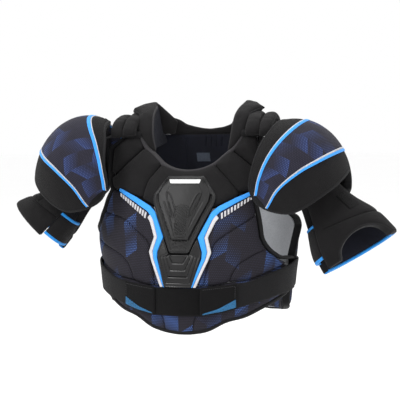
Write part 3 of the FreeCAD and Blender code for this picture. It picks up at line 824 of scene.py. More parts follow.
for side, sg in SIDES:
    low_inner = [(90, -97), (58, -112), (39, -158), (50, -182), (40, -215), (33, -236), (60, -236), (87, -230), (117, -227), (140, -219), (160, -211)]
    start = {1: 5, -1: 6}[sg]
    rim_ = SIDE_EDGE[sg][start - 1 if sg > 0 else start:]
    chest = flipx([(rim_[0][0] - 4, rim_[0][1] - 1)] + low_inner + rim_[::-1], sg)
    seamA = curve(dom(flipx([(rim_[2][0] + 2, -122), (112, -131), (86, -147), (60, -166), (53, -182), (48, -205), (43, -236)], sg)), 8)
    seamB = curve(dom(flipx([(137 if sg > 0 else 172, -181 if sg > 0 else -170), (122, -187), (99, -201), (89, -216), (84, -231)], sg)), 8)
    p = Panel("chest_panel_" + side, soften(dom(chest), 4), form_map(4.3), thick=10.6, edge=6.5, R=12, step=2.6, crown=1.2,
              seams=[(seamA, 8, 5.2), (seamB, 7, 4.2)], wr=(0.8, 20), seed=2 + sg)
    finish_piece(p.ob, pattern, "front", ["chest_pad_" + side])
    for i, s in enumerate((seamA, seamB)):
        a, n = p.place(dens(s, 2, False)[2:-2])
        finish_piece(stitches("chest_seam_thread_%d_%s" % (i, side), a, n), thread, "front")

    q2 = {1: [(47, -39), (63, -25), (74, -17.5), (111, -44.5), (119, -54), (119, -78), (112, -84), (92, -85)],
          -1: [(49, -38), (63, -25), (76, -14.5), (86, -14.5), (105, -30), (135, -57), (143, -61), (139, -77), (135, -81.5), (104, -89), (80, -95), (77, -88), (71, -68)]}[sg]
    p = Panel("upper_chest_quilt_" + side, soften(dom(flipx(q2, sg)), 5), form_map(4.3), thick=14, edge=3, R=19, step=2.4, wr=(1.2, 24), seed=6 + sg)
    puff(p.ob)
    finish_piece(p.ob, black_soft, "front", ["upper_chest_pad_" + side])
    q1 = {1: [(76, -15), (95, 11), (118, 5), (122, -20), (120.5, -48), (114, -42.5)],
          -1: [(88, -12), (95, 11), (116, 9), (131, -2), (144, -13), (144.5, -29), (144, -56), (137, -54.5), (107, -28.5)]}[sg]
    p = Panel("shoulder_front_quilt_" + side, soften(dom(flipx(q1, sg)), 5), form_map(4.3), thick=14, edge=3, R=17, step=2.4, wr=(1.2, 24), seed=8 + sg)
    puff(p.ob)
    finish_piece(p.ob, black_soft, "front", ["shoulder_front_pad_" + side])

    # accent tapes: blue inside, white outside, broken into slanted dashes higher up
    inner = [(121, -80), (88, -94), (60, -108), (49, -117), (42, -132), (29.5, -158), (38, -181), (38, -192), (22, -238)]
    mid_ = [(122, -85), (88, -103), (63, -117), (51, -130), (40, -158), (46.5, -181), (44, -193), (25, -238)]
    outer = [(123, -90), (88, -108), (63, -125), (56, -133), (46, -158), (53, -182), (48, -196), (30, -238)]
    fm = form_map(15.4)
    for nm, a_, b_, mt in (("blue", inner, mid_, blue),):
        o = np.array(a_ + b_[::-1], float)
        p = Panel("accent_%s_%s" % (nm, side), soften(dom(flipx(o, sg)), 2), fm, thick=2.6, edge=1.2, R=2.2, step=1.8, wr=(0, 0))
        finish_piece(p.ob, mt, "front", ["accent_trim_" + side])
    o = np.array([(56.5, -121), (51.5, -130), (40.5, -158), (47, -181), (44.5, -193), (25.5, -238), (30.5, -238), (48.5, -196), (53.5, -182),
                  (46.5, -158), (57, -133), (62, -127)], float)
    p = Panel("accent_white_" + side, soften(dom(flipx(o, sg)), 2), fm, thick=2.4, edge=1.2, R=2.0, step=1.8, wr=(0, 0))
    finish_piece(p.ob, white, "front")
    n_d = 11
    for i in range(n_d):
        t0 = (i + 0.1) / n_d
        t1 = t0 + 0.55 / n_d
        A0, A1 = np.array([64, -119.5]), np.array([121, -87])
        B0, B1 = np.array([68, -127]), np.array([123, -90.5])
        sh = 0.05
        quad = [A0 + (A1 - A0) * t0, A0 + (A1 - A0) * t1, B0 + (B1 - B0) * (t1 - sh), B0 + (B1 - B0) * (t0 - sh)]
        quad = [np.array(v) for v in quad]
        p = Panel("accent_dash_%d_%s" % (i, side), dom(flipx(quad, sg)), fm, thick=2.2, edge=1.4, R=0.8, step=1.3, wr=(0, 0), rings=False)
        finish_piece(p.ob, white, "front")

    # armhole binding
    arm_edge = curve(dom(flipx(SIDE_EDGE[sg] + [LOW_EDGE[sg][0]], 1) * [sg, 1], 8), 8)
    fmi = form_map(0)
    h = np.full(len(arm_edge), 7.0)
    a, b = fmi(arm_edge, h), fmi(arm_edge, h + 1)
    n = (b - a) / np.linalg.norm(b - a, axis=1, keepdims=True)
    finish_piece(sweep("armhole_binding_" + side, a, n, 3.0, 6.6, n=16, power=3, jitter=0.05), bind_black, "front")

# neck binding
line = curve(dom([(x, z) for x, z in neck_line] + [(-x, z) for x, z in neck_line[::-1][1:]], 8), 10)
fmi = form_map(0)
h = np.full(len(line), 6.5)
a, b = fmi(line, h), fmi(line, h + 1)
n = (b - a) / np.linalg.norm(b - a, axis=1, keepdims=True)
finish_piece(sweep("neck_binding", a, n, 3.2, 6.4, n=18, power=3, taper=6), bind_grey, "front")

# hem binding
line = curve(dom(LOW_EDGE[1] + [(-x, z) for x, z in LOW_EDGE[-1][::-1][1:]], 8), 10)
h = np.full(len(line), 6.5)
a, b = fmi(line, h), fmi(line, h + 1)
n = (b - a) / np.linalg.norm(b - a, axis=1, keepdims=True)
finish_piece(sweep("hem_binding", a, n, 3.4, 6.4, n=18, power=3, taper=4, jitter=0.05), bind_black, "front")


# ------------------------------------------------------------------ sternum plates
def step_h(d, at, rise, w):
    """A bevelled step of a given rise, w wide, at distance `at` in from an edge."""
    return rise * np.clip((d - at) / w, 0, 1)


def sgn_dist(P, poly):
    d = seg_dist(P, poly, True)
    return np.where(inside(P, poly), d, -d)


up_out = both([(0, -58.5), (30, -58.5), (34, -62), (54, -89), (54.5, -97), (52, -105), (18, -180), (14, -183.5), (0, -183.5)])
up_o = dom(up_out)
ridge1 = dom(both([(0, -62), (27, -62), (43, -88), (41, -100), (13, -160), (0, -160)]))
low_face = dom(both([(0, -162), (14, -162), (24, -141), (13, -172), (10, -178), (0, -178)]))


def up_height(P, h, d):
    e = sgn_dist(P, ridge1)
    h = 1.6 + step_h(d, 0.0, 2.2, 1.0) + step_h(d, 3.0, 0.8, 1.0) - step_h(d, 5.2, 2.0, 0.9) + step_h(e, -2.0, 3.4, 1.6)
    h = h - 1.0 * np.exp(-((e + 2.8) / 0.8) ** 2)
    for q_ in (7.0, 13.0):
        h = h - 0.9 * np.exp(-((e - q_) / 0.7) ** 2) * (P[:, 1] < -100)
    h = h + 0.35 * np.clip((P[:, 1] + 183) / 60, 0, 1)
    # fine ribs on the sloped side walls
    band = ((d > 6.8) & (e < -1.5)).astype(float)
    h = h + band * 0.5 * np.sin((P[:, 1] + 0.6 * np.abs(P[:, 0])) * 2 * math.pi / 3.0)
    return h


p_up = Panel("sternum_upper", up_o, form_map(15.6), thick=6, edge=1.2, R=2, step=1.15, height=up_height, wr=(0, 0))
finish_piece(p_up.ob, carbon, "front", ["sternum_upper_plate"])

low_out = both([(0, -184.8), (17, -184.8), (24, -168), (28.5, -160), (31, -163), (37.5, -182), (37, -188), (24, -236.5), (21.5, -238), (0, -238)])
def chevron(w0, w1, za, zb):
    return dom(both([(0, -183.5), (w0 * 0.55, -183.5), (w0, za), (w1, zb), (0, zb)]))


CHEV = [chevron(31, 19.5, -190, -230), chevron(26, 15.5, -189, -220), chevron(20.5, 11.5, -188, -209), chevron(14, 8, -187, -197.5)]


def low_height(P, h, d):
    h = 1.4 + step_h(d, 0, 1.8, 0.8) - step_h(d, 1.6, 0.7, 0.6)
    for c_ in CHEV:
        e = sgn_dist(P, c_)
        h = h - 0.9 * np.exp(-((e + 0.7) / 0.7) ** 2) + step_h(e, 0, 1.35, 0.8)
    return h


p_lo = Panel("sternum_lower", dom(low_out), form_map(15.6), thick=6, edge=1.2, R=2, step=1.1, height=low_height, wr=(0, 0))
finish_piece(p_lo.ob, gloss_edge, "front", ["sternum_lower_plate"])

# raised crest: a V with ribbed neck and two side slots
cr_out = both([(0, -72), (25, -72), (32, -84), (31, -90), (11, -154), (8.5, -158), (0, -158)])
slot_l = [(-27, -86), (-23, -90), (-13.5, -112), (-13.0, -124), (-16, -122), (-27, -93)]
slot_r = [(-x, z) for x, z in slot_l][::-1]
rib_zone = both([(0, -104), (12, -107), (9, -153), (0, -153)])
S1, S2, RZ = dom(slot_l), dom(slot_r), dom(rib_zone)


def cr_height(P, h, d):
    h = 0.8 + step_h(d, 0, 1.9, 1.3)
    for s in (S1, S2):
        e = sgn_dist(P, s)
        h = h - 3.0 * np.clip((e + 0.4) / 1.6, 0, 1)
        h = h + 0.9 * np.exp(-((e + 1.2) / 0.8) ** 2)
    e = sgn_dist(P, RZ)
    x, z = P[:, 0], P[:, 1]
    h = h + (e > 0) * np.clip(e / 1.0, 0, 1) * (0.75 * np.sign(np.sin((z + 0.75 * x) * 2 * math.pi / 4.4)) - 0.2)
    return h


p_cr = Panel("sternum_crest_vee", dom(cr_out), form_map(19.8), thick=4, edge=0.9, R=1.5, step=0.85, height=cr_height, wr=(0, 0))
finish_piece(p_cr.ob, carbon, "front", ["sternum_crest"])
bz = both([(0, -62.5), (27.5, -62.5), (24.5, -70.5), (0, -70.5)])
p_b = Panel("sternum_badge", soften(dom(bz), 1.2), form_map(20.6), thick=2.6, edge=1.6, R=1.2, step=1.3, wr=(0, 0))
finish_piece(p_b.ob, white_rubber, "front", ["badge_plate"])

# ------------------------------------------------------------------ belt
p = Panel("front_loop_patch", soften(dom(both([(0, -239), (58, -239), (58, -278), (37, -284), (0, -284.5)]), 2), 2), form_map(14.4), thick=3.6, edge=2.2, R=3, step=2.2, wr=(0.25, 60))
finish_piece(p.ob, loop_m, "front", ["front_loop_landing"])
for side, sg in SIDES:
    band = flipx([(58, -239.5), (93, -233), (117, -229.5), (140, -221), (160, -213), (174, -206.5), (179.2, -205.5), (179.4, -252), (170, -255),
                  (150, -259), (120, -266), (93, -273), (58, -280)], sg)
    p = Panel("belt_elastic_" + side, soften(dom(band), 1.5), form_map(16.3), thick=3.2, edge=2.4, R=2.5, step=2.6, wr=(0.5, 16), seed=3 * sg)
    finish_piece(p.ob, elastic, "belt_" + side, ["belt_band_" + side])
    hk = flipx([(38, -241), (58.5, -240), (58.5, -278), (38, -281.5)], sg)
    p = Panel("belt_hook_patch_" + side, soften(dom(hk), 1.5), form_map(18.3), thick=1.2, edge=0.9, R=1.5, step=2.2, wr=(0, 0))
    finish_piece(p.ob, loop_m, "belt_" + side, ["belt_hook_" + side])
    tb = flipx([(37.5, -237.5), (94, -232), (93.5, -273), (70, -279), (37.5, -284)], sg)
    p = Panel("belt_tab_pad_" + side, soften(dom(tb), 2.5), form_map(19.7), thick=3.0, edge=1.6, R=4, step=2.2, wr=(0.25, 30), seed=5)
    finish_piece(p.ob, black_dark, "belt_" + side, ["belt_tab_" + side])
    wd = flipx([(91.5, -257), (91.5, -270.5), (70, -276.5), (41, -281.5), (41, -279.5), (66, -271)], sg)
    pw = Panel("belt_tab_flash_" + side, soften(dom(wd), 1.2), form_map(20.6), thick=2.8, edge=1.8, R=2, step=1.6, wr=(0, 0))
    finish_piece(pw.ob, teal, "belt_" + side)
    edge = dens(soften(dom(flipx([(41, -240.5), (90.5, -235.5), (90, -255)], sg)), 2, closed=False), 2, False)
    a, n = p.place(edge)
    finish_piece(stitches("belt_tab_thread_" + side, a, n), thread, "belt_" + side)
    # rear run of the belt, sewn to the back panel
    rb = flipx([(118, -209), (150, -206.5), (174, -205.5), (179.2, -205), (179.2, -252), (150, -257), (118, -262)], sg)
    pr = Panel("belt_rear_elastic_" + side, soften(dom(rb), 1.5), form_map(16.3, True), thick=3.2, edge=2.4, R=2.5, step=2.8, wr=(0.4, 16))
    finish_piece(pr.ob, elastic, "back", ["belt_rear_" + side])

# ------------------------------------------------------------------ back
back_half = [(0, 8.2), (59.8, 8.2), (72, 15.5), (104, 13.5), (106, -20), (109, -60), (116, -100), (126, -123), (150, -132), (168, -138), (177, -153),
             (180.5, -200), (181, -212), (177, -240), (170, -285), (150, -298), (120, -306), (0, -312)]
lines = []
for sg in (1, -1):
    lines.append((curve(dom([(sg * 34, 10), (sg * 40, -60), (sg * 42, -150), (sg * 36, -240), (sg * 30, -306)]), 8), 8, 5))
    lines.append((curve(dom([(sg * 42, -120), (sg * 80, -150), (sg * 118, -196), (sg * 150, -250)]), 8), 7, 4))
    lines.append((curve(dom([(sg * 38, -40), (sg * 70, -54), (sg * 106, -62)]), 8), 7, 4))
p_back = Panel("back_shell_cloth", soften(dom(both(back_half)), 9), form_map(4.3, True), thick=10.4, edge=6, R=11, step=3.2, crown=1.0,
               seams=lines, wr=(0.9, 18), seed=11)
finish_piece(p_back.ob, pattern, "back", ["back_panel"])
for i, (s, w, k) in enumerate(lines):
    a, n = p_back.place(dens(s, 2, False)[2:-2])
    finish_piece(stitches("back_seam_thread_%d" % i, a, n), thread, "back")
p = Panel("back_liner_cloth", soften(dom(both([(x * 0.99, z) for x, z in back_half]), 9), 9), form_map(0, True), thick=4, edge=3, R=4, step=4, wr=(0.4, 20))
finish_piece(p.ob, liner_m, "back", ["back_liner"])
def form_map_in(base):
    """On the back form, but with thickness counted towards the wearer."""
    f = form_map(0, True)
    return lambda P, h: f(P, base - h)


gathers = [(dom([(x, 14), (x + 1.5, 2), (x - 1, -12)], 0), 3.4, 1.5) for x in (4, 14, 24, 34)] + [(dom([(-35, 14), (-36, -30), (-40, -110)], 0), 3.5, 1.6)]
p = Panel("back_neck_facing", soften(dom(both([(0, 8), (64, 8), (101, 12), (103, -20), (107, -60), (114, -108), (60, -122), (0, -126)]), 2), 8), form_map_in(-0.4),
          thick=3.0, edge=0.8, R=6, step=2.6, seams=gathers, wr=(0.9, 24), seed=20)
finish_piece(p.ob, navy, "back")
for side, sg in SIDES:
    q = flipx([(70, -244), (136, -212), (181, -204), (181, -226), (176.5, -262), (169, -285), (150, -297), (118, -303), (70, -306)], sg)
    p = Panel("back_side_facing_" + side, soften(dom(q, 2), 5), form_map_in(-0.3), thick=1.8, edge=0.8, R=5, step=3, wr=(0.5, 22), seed=30 + sg)
    finish_piece(p.ob, pattern, "back")
roll_r = [(0, 19.5), (13, 18.5), (39, 21.5), (53, 26), (62, 33), (72, 29), (71, 17), (60, 9), (0, 8.6)]
roll_l = [(0, 19.5), (14, 22), (33, 27), (45, 35), (60, 40), (72, 30), (71, 17), (60, 9), (0, 8.6)]
p = Panel("back_neck_roll", soften(dom(halves(roll_r, roll_l)), 3), form_map(3.5, True), thick=9, edge=3, R=7, step=2.2,
          under=(5.0, 7), wr=(0.5, 30))
finish_piece(p.ob, black_soft, "back", ["back_collar"])
p = Panel("spine_cushion", soften(dom(both([(0, -16), (24, -16), (30, -60), (30, -190), (22, -232), (0, -232)])), 8), form_map(15, True), thick=7.5, edge=1.5, R=12, step=3,
          seams=[(dom([(-26, z), (26, z)]), 6, 3.5) for z in (-60, -103, -146, -190)], wr=(0.5, 24), seed=3)
finish_piece(p.ob, black, "back", ["spine_pad"])
line = curve(soften(dom(both(back_half), 8), 9), 2, closed=True)
line = dens(line, 3)
fmb = form_map(0, True)
h = np.full(len(line), 6.5)
a, b = fmb(line, h), fmb(line, h + 1)
n = (b - a) / np.linalg.norm(b - a, axis=1, keepdims=True)
finish_piece(sweep("back_edge_binding", a, n, 3.0, 6.6, closed=True, n=16, power=3, jitter=0.05), bind_black, "back")
lb = Panel("size_label_cloth", soften(dom([(-17, -41), (8, -41), (8, -25), (-17, -25)], 0), 1), form_map_in(-2.9), thick=0.9, edge=0.6, R=1, step=2, wr=(0, 0))
finish_piece(lb.ob, label_m, "back", ["size_label"])


# ------------------------------------------------------------------ shoulders
def loaf(name, side, x0, x1, path, hh, folds=(), body="front"):
    """A padded roll that runs over the shoulder: rounded across, tapered at its ends."""
    c = curve(path, 12)
    c = dens(c, 1.6, False)
    L = np.concatenate([[0], np.cumsum(np.linalg.norm(np.diff(c, axis=0), axis=1))])
    u = L / L[-1]
    t = np.gradient(c, axis=0)
    t /= np.linalg.norm(t, axis=1, keepdims=True)
    nrm = np.stack([-t[:, 1], t[:, 0]], 1)
    e = np.clip(np.minimum(L, L[-1] - L) / 9.0, 0, 1)
    f = np.sqrt(np.maximum(1 - (1 - e) ** 2, 0.0))
    f = 0.12 + 0.88 * f
    for at, dep in folds:
        f = f * (1 - dep * np.exp(-((L - at * L[-1]) / 3.0) ** 2))
    n_ = 28
    ang = np.arange(n_) * 2 * math.pi / n_
    xc, xw = (x0 + x1) / 2, (x1 - x0) / 2
    V, D = [], []
    for i in range(len(c)):
        for k in range(n_):
            cx = np.sign(np.cos(ang[k])) * abs(np.cos(ang[k])) ** 0.78
            cz = np.sign(np.sin(ang[k])) * abs(np.sin(ang[k])) ** 0.8
            off = cz * hh * f[i] * (1.0 if cz > 0 else 0.55)
            y, z = c[i] + nrm[i] * off
            V.append((xc + cx * xw * (0.9 + 0.1 * f[i]), y, z))
            D.append((L[i], ang[k] * xw, off))
    V = np.array(V) * MM
    V[:, 0] *= side
    V = V + 0.0009 * np.array([[noise.noise(Vector(v) * 32 + Vector((side * 3, x0, 0))), noise.noise(Vector(v) * 30 + Vector((5, x0, 2))),
                                noise.noise(Vector(v) * 34 + Vector((9, 1, x0)))] for v in V])
    F = []
    for i in range(len(c) - 1):
        for k in range(n_):
            k2 = (k + 1) % n_
            F.append((i * n_ + k, i * n_ + k2, (i + 1) * n_ + k2, (i + 1) * n_ + k))
    F.append(tuple(range(n_)))
    F.append(tuple((len(c) - 1) * n_ + k for k in range(n_ - 1, -1, -1)))
    return make(name, V, F, D, smooth=0)


LEAN = np.array([(-28, -20), (-27, 0), (-23, 20), (-10, 41), (7, 52), (22, 58), (38, 63), (46, 66), (48, 66.6)], float)
LEAN = curve(LEAN, 8)
LEAN_S = np.concatenate([[0], np.cumsum(np.linalg.norm(np.diff(LEAN, axis=0), axis=1))])


def lean_dom(pts):
    p = np.asarray(pts, float)
    return np.stack([p[:, 0], np.interp(p[:, 1], LEAN[:, 1], LEAN_S)], 1)


def lean_map(sg, base):
    """Over the curve that leans back from the neck edge: (x, distance up the curve)."""
    T = np.gradient(LEAN, axis=0)
    T /= np.linalg.norm(T, axis=1, keepdims=True)

    def f(P, h):
        y, z = np.interp(P[:, 1], LEAN_S, LEAN[:, 0]), np.interp(P[:, 1], LEAN_S, LEAN[:, 1])
        ty, tz = np.interp(P[:, 1], LEAN_S, T[:, 0]), np.interp(P[:, 1], LEAN_S, T[:, 1])
        o = base + h
        return np.stack([sg * P[:, 0], y - tz * o, z + ty * o], 1) * MM
    return f


for side, sg in SIDES:
    path_y = [(-27, 13), (-20, 22), (-6, 29.5), (15, 33), (34, 29), (48, 20)]
    ob = loaf("yoke_foam_" + side, sg, 96, 141, [(y, z - 2.5) for y, z in path_y], 5.0)
    finish_piece(ob, black_dark, "front", ["yoke_" + side])
    path_r = [(-33, 9), (-30.5, 19), (-20, 30), (-4, 36), (15, 40), (34, 36), (46, 27)]
    ob = loaf("roll_inner_" + side, sg, 97, 120.5, path_r, 9.0, folds=((0.24, 0.07), (0.5, 0.05)))
    puff(ob)
    finish_piece(ob, black_soft, "front", ["shoulder_roll_inner_" + side])
    ob = loaf("roll_outer_" + side, sg, 120.5, 142.5, [(y, z - 2) for y, z in path_r], 8.4, folds=((0.3, 0.08), (0.6, 0.05)))
    puff(ob)
    finish_piece(ob, black_soft, "front", ["shoulder_roll_outer_" + side])
    # collar board: front wing on the leaning curve, rear wing, and the wall between them round the neck
    wing = [(64, -20), (70, 10), (72, 30), (75, 50), (79, 62), (81, 66), (90, 66), (104, 62.5), (117, 55), (105, 50), (99, 46), (97, 30), (95, 14), (76, -12)]
    p = Panel("collar_wing_" + side, soften(lean_dom(wing), 4), lean_map(sg, -3.5), thick=6.5, edge=1.6, R=9, step=2.0, under=(2.5, 6),
              wr=(0.7, 34), seed=sg * 2)
    puff(p.ob, 2.0)
    finish_piece(p.ob, black_soft, "front", ["neck_collar_" + side])
    edge_ = curve(lean_dom([(95, 13), (97, 30), (99, 45.5), (105, 49.5), (117, 55)]), 8)
    a, n = p.rim(edge_, 0.4)
    finish_piece(sweep("collar_wing_binding_" + side, a, n, 1.9, 3.2, n=14, power=2.6, taper=4), bind_black, "front")
    edge_ = curve(lean_dom([(65.5, -19), (70.5, 10), (72.5, 30), (75.5, 50), (79.5, 62)]), 8)
    a, n = p.rim(edge_, 0.4)
    finish_piece(sweep("collar_neck_binding_" + side, a, n, 1.8, 3.4, n=14, power=2.6, taper=4), bind_grey, "front")
    back_w = {1: [(81, 66), (78, 59), (66, 42), (55, 28), (58, 10), (95, 10), (97, 46), (117, 54), (104, 62), (90, 66)],
              -1: [(81, 66), (75, 61), (57, 45), (44, 33), (49, 10), (95, 10), (97, 46), (117, 54), (104, 62), (90, 66)]}[sg]

    def plane_map(P, h, sg=sg):
        return np.stack([sg * P[:, 0], 44.5 - h, P[:, 1]], 1) * MM

    p = Panel("collar_rear_wing_" + side, soften(np.array(back_w, float), 4), plane_map, thick=5.5, edge=1.6, R=8, step=2.2, under=(2.5, 5), wr=(0.6, 34), seed=4 + sg)
    finish_piece(p.ob, black_soft, "front", ["collar_rear_" + side])
    wall = [(-27, -17), (-23, 18), (-10, 38), (7, 49), (22, 55), (38, 60.5), (45, 62), (53, 56), (57, 40), (59, 20), (59, -6), (20, -10), (-10, -13), (-22, -17)]

    def wall_map(P, h, sg=sg):
        x = 68.5 + 14 * (P[:, 1] + 20) / 86
        return np.stack([sg * (x - h), P[:, 0], P[:, 1]], 1) * MM

    p = Panel("collar_neck_wall_" + side, soften(np.array(wall, float), 5), wall_map, thick=3.4, edge=1.2, R=7, step=2.4, under=(2, 6), wr=(0.7, 36), seed=14 + sg)
    finish_piece(p.ob, navy, "front")
    # folded end of the shoulder strap, seen between the rolls and the front edge
    fold = loaf("strap_fold_" + side, sg, 88, 128, [(-31, 6), (-29.5, 12), (-27, 17)], 3.0)
    finish_piece(fold, elastic, "front")

# ------------------------------------------------------------------ shoulder caps
CC = np.array([183.0, -18.0, -70.0])
CR = np.array([96.0, 104.0, 115.0])
pole = np.array([0.70, -0.25, 0.35])
pole /= np.linalg.norm(pole)
e1 = np.cross(np.array([0, 0, 1.0]), pole)
e1 /= np.linalg.norm(e1)
e2 = np.cross(pole, e1)
KR = 104.0


def cap_map(sg, base):
    def f(P, h):
        a = np.linalg.norm(P, axis=1) / KR
        b = np.arctan2(P[:, 1], P[:, 0])
        q = np.cos(a)[:, None] * pole + np.sin(a)[:, None] * (np.cos(b)[:, None] * e1 + np.sin(b)[:, None] * e2)
        o = base + h
        o = np.asarray(o)[:, None] if np.ndim(o) else o
        v = (CC + (CR + o) * q) * MM
        v[:, 0] = v[:, 0] * sg - 7 * MM
        if sg > 0:
            v[:, 2] = -0.113 + (v[:, 2] + 0.113) * 0.935
        return v
    return f


def cap_dom(pts, behind=False):
    """Front-view places (x, z) on the cap to its own flat coordinates."""
    p = np.asarray(pts, float)
    qx, qz = (p[:, 0] - CC[0]) / CR[0], (p[:, 1] - CC[2]) / CR[2]
    r = np.maximum(1e-9, 1 - qx**2 - qz**2)
    over = qx**2 + qz**2 > 1
    s = np.where(over, 1 / np.sqrt(qx**2 + qz**2), 1)
    qx, qz = qx * s, qz * s
    qy = np.sqrt(np.maximum(0, 1 - qx**2 - qz**2)) * (1 if behind else -1)
    q = np.stack([qx, qy, qz], 1)
    a = np.arccos(np.clip(q @ pole, -1, 1))
    t = q - (q @ pole)[:, None] * pole
    t /= np.maximum(np.linalg.norm(t, axis=1, keepdims=True), 1e-9)
    return np.stack([a * KR * (t @ e1), a * KR * (t @ e2)], 1)


rim_front = curve([(160.5, 43), (157, 38), (148, 20), (138, 0), (129, -33), (124, -58), (123, -74), (131, -94), (146, -106), (166, -113), (188, -115.5), (205, -110.5),
                   (225, -98.5), (242, -86), (258, -73), (270, -60), (276, -50), (278.8, -40)], 6)


def rear_of(x, z):
    """Where the oblique cut meets the rear of the dome, behind a front place."""
    y = lambda xx: math.sqrt(max(0.0, 1 - ((xx - CC[0]) / CR[0]) ** 2 - ((z - CC[2]) / CR[2]) ** 2)) * CR[1]
    yf = CC[1] - y(x)
    xr = x
    for _ in range(12):
        xr = 0.5 * xr + 0.5 * (x + (CC[1] + y(xr) - yf) * math.tan(math.radians(17)))
    return xr, z


def cap_outline(front):
    rear = np.array([rear_of(*q) for q in front])
    rr = np.hypot((rear[:, 0] - CC[0]) / CR[0], (rear[:, 1] - CC[2]) / CR[2])
    rear = rear[rr < 0.996]
    out = np.vstack([cap_dom(front), cap_dom(rear[::-1], True)[1:-1]])
    return soften(dens(out, 6), 3)


high = np.clip((rim_front[:, 1] + 40) / 80, 0, 1)
CAP_OUT = {1: cap_outline(rim_front + np.stack([2.0 * high, 0 * high], 1)), -1: cap_outline(rim_front - np.stack([13.0 * high, 0 * high], 1))}
S1_LINE = {1: [(208, 45), (192, 27), (170, 0), (153, -30), (142, -60), (136, -86)],
           -1: [(176, 45), (163, 27), (147, 0), (136, -30), (129.5, -60), (127, -80)]}
s2 = [(266, -8), (238, -24), (204, -46), (172, -76), (153, -107)]


def strip(line, w0, w1, off0=0.0, off1=0.0):
    """Band between two offsets of a line in the cap's flat coordinates."""
    c = dens(curve(line, 10), 3, False)
    t = np.gradient(c, axis=0)
    t /= np.linalg.norm(t, axis=1, keepdims=True)
    n = np.stack([-t[:, 1], t[:, 0]], 1)
    u = np.linspace(0, 1, len(c))[:, None]
    a = c + n * (off0 + (off1 - off0) * u)
    b = a + n * (w0 + (w1 - w0) * u)
    return np.vstack([a, b[::-1]])


for side, sg in SIDES:
    body = "cap_" + side
    cap_out, s1 = CAP_OUT[sg], S1_LINE[sg]
    cover = Panel("cap_cover_cloth_" + side, cap_out, cap_map(sg, -4.0), thick=4.2, edge=2.0, R=7, step=3.2, wr=(0.8, 16), seed=sg * 5)
    finish_piece(cover.ob, black, body, ["cap_cover_" + side])
    lining = Panel("cap_lining_cloth_" + side, cap_out, cap_map(sg, -4.4), thick=0.2, edge=0.2, R=4, step=4, under=(7.4, 7), wr=(0, 0))
    finish_piece(lining.ob, black_dark, body, ["cap_liner_" + side, "cap_shell_" + side])
    L1f, L1b = cap_dom(s1), cap_dom(s1, True)
    L2f, L2b = cap_dom(s2), cap_dom(s2, True)
    line1 = np.vstack([L1b[::-1], L1f[1:]])
    line2 = np.vstack([L2b[::-1], L2f[1:]])
    c1, c2 = curve(line1, 10), curve(line2, 10)
    between = np.vstack([c1, c2[::-1]])
    cm = cap_map(sg, 0.0)
    mid_p = Panel("cap_side_print_" + side, dens(between, 3), cap_map(sg, -0.3), thick=1.4, edge=0.9, R=3, step=3, wr=(0.5, 16), seed=sg * 5)
    finish_piece(mid_p.ob, pattern_cap, body)
    for nm, ln, w0, off, mt, hgt in (("stripe_one_blue", line1, 9.5, -5.0, blue, 2.4), ("stripe_one_white", line1, 2.6, -7.8, white, 2.2),
                                     ("stripe_two_blue", line2, 6.0, 1.0, blue, 2.4), ("stripe_two_white", line2, 4.2, -3.4, greyt, 2.2)):
        st = Panel("%s_%s" % (nm, side), dens(strip(ln, w0, w0 * 0.55, off, off * 0.6), 2.5), cap_map(sg, -0.3), thick=hgt, edge=hgt - 0.7, R=1.6, step=2.4, wr=(0, 0), rings=False)
        finish_piece(st.ob, mt, body)
    ring = dens(cap_out, 3)
    fmc = cap_map(sg, 0)
    h = np.full(len(ring), -5.8)
    a, b = fmc(ring, h), fmc(ring, h + 1)
    n = (b - a) / np.linalg.norm(b - a, axis=1, keepdims=True)
    finish_piece(sweep("cap_binding_" + side, a, n, 3.4, 6.6, closed=True, n=18, power=3, jitter=0.05), bind_black, body)

# ------------------------------------------------------------------ arm guards
ARMS = {
    1: dict(down=(0.548, -0.155, -0.822), out=(0.68, 0.58, 0.36), at=(180, -8, -28), strap=(122, 176), patch=(98, 130), turn=(58, 84), arch=(196, 30, 54, 44), far=193, near=157, wrap=(160, 218),
            st=[(62, 36, 33, -4), (105, 45, 40, -5), (135, 60, 46, -2), (165, 72, 49, -1), (193, 77, 50, 0)]),
    -1: dict(down=(0.66, -0.16, -0.734), out=(0.64, 0.58, 0.48), at=(180, -8, -44), strap=(98, 143), patch=(84, 114), turn=(60, 84), arch=(164, 0, 60, 50), far=150, near=140, wrap=(143, 218),
             st=[(45, 33, 31, -6), (80, 37, 36, -8), (108, 50, 42, -3), (135, 63, 46, 6), (158, 72, 49, 11)])}
for v in ARMS.values():
    d_ = Vector(v["down"]).normalized()
    mx = Vector(v["out"])
    mx = (mx - d_ * mx.dot(d_)).normalized()
    v["m"] = np.array([tuple(mx), tuple(d_.cross(mx)), tuple(d_)])
    v["a"], v["b"], v["c"] = (Spline([q[0] for q in v["st"]], [q[k] for q in v["st"]]) for k in (1, 2, 3))
AR = 55.0


def arm_map(sg, base):
    A = ARMS[sg]

    def f(P, h):
        ph, t = P[:, 0] / AR, -P[:, 1]
        o = base + h
        v = np.stack([A["c"](t) + (A["a"](t) + o) * np.cos(ph), (A["b"](t) + o) * np.sin(ph), t], 1)
        w = np.array(A["at"], float) + v @ A["m"]
        w[:, 0] *= sg
        return w * MM
    return f


def arm_dom(pts):
    p = np.asarray(pts, float)
    return np.stack([np.radians(p[:, 0]) * AR, -p[:, 1]], 1)


def t_end(sg, ph):
    A = ARMS[sg]
    at, deep, wide, off = A["arch"]
    c, s = math.cos(math.radians(ph)), math.sin(math.radians(ph))
    q = 1 - (72 * c / wide) ** 2 - ((50 * s - 52) / off) ** 2
    return A["far"] - (deep * math.sqrt(q) if q > 0 and s > 0 else 0)


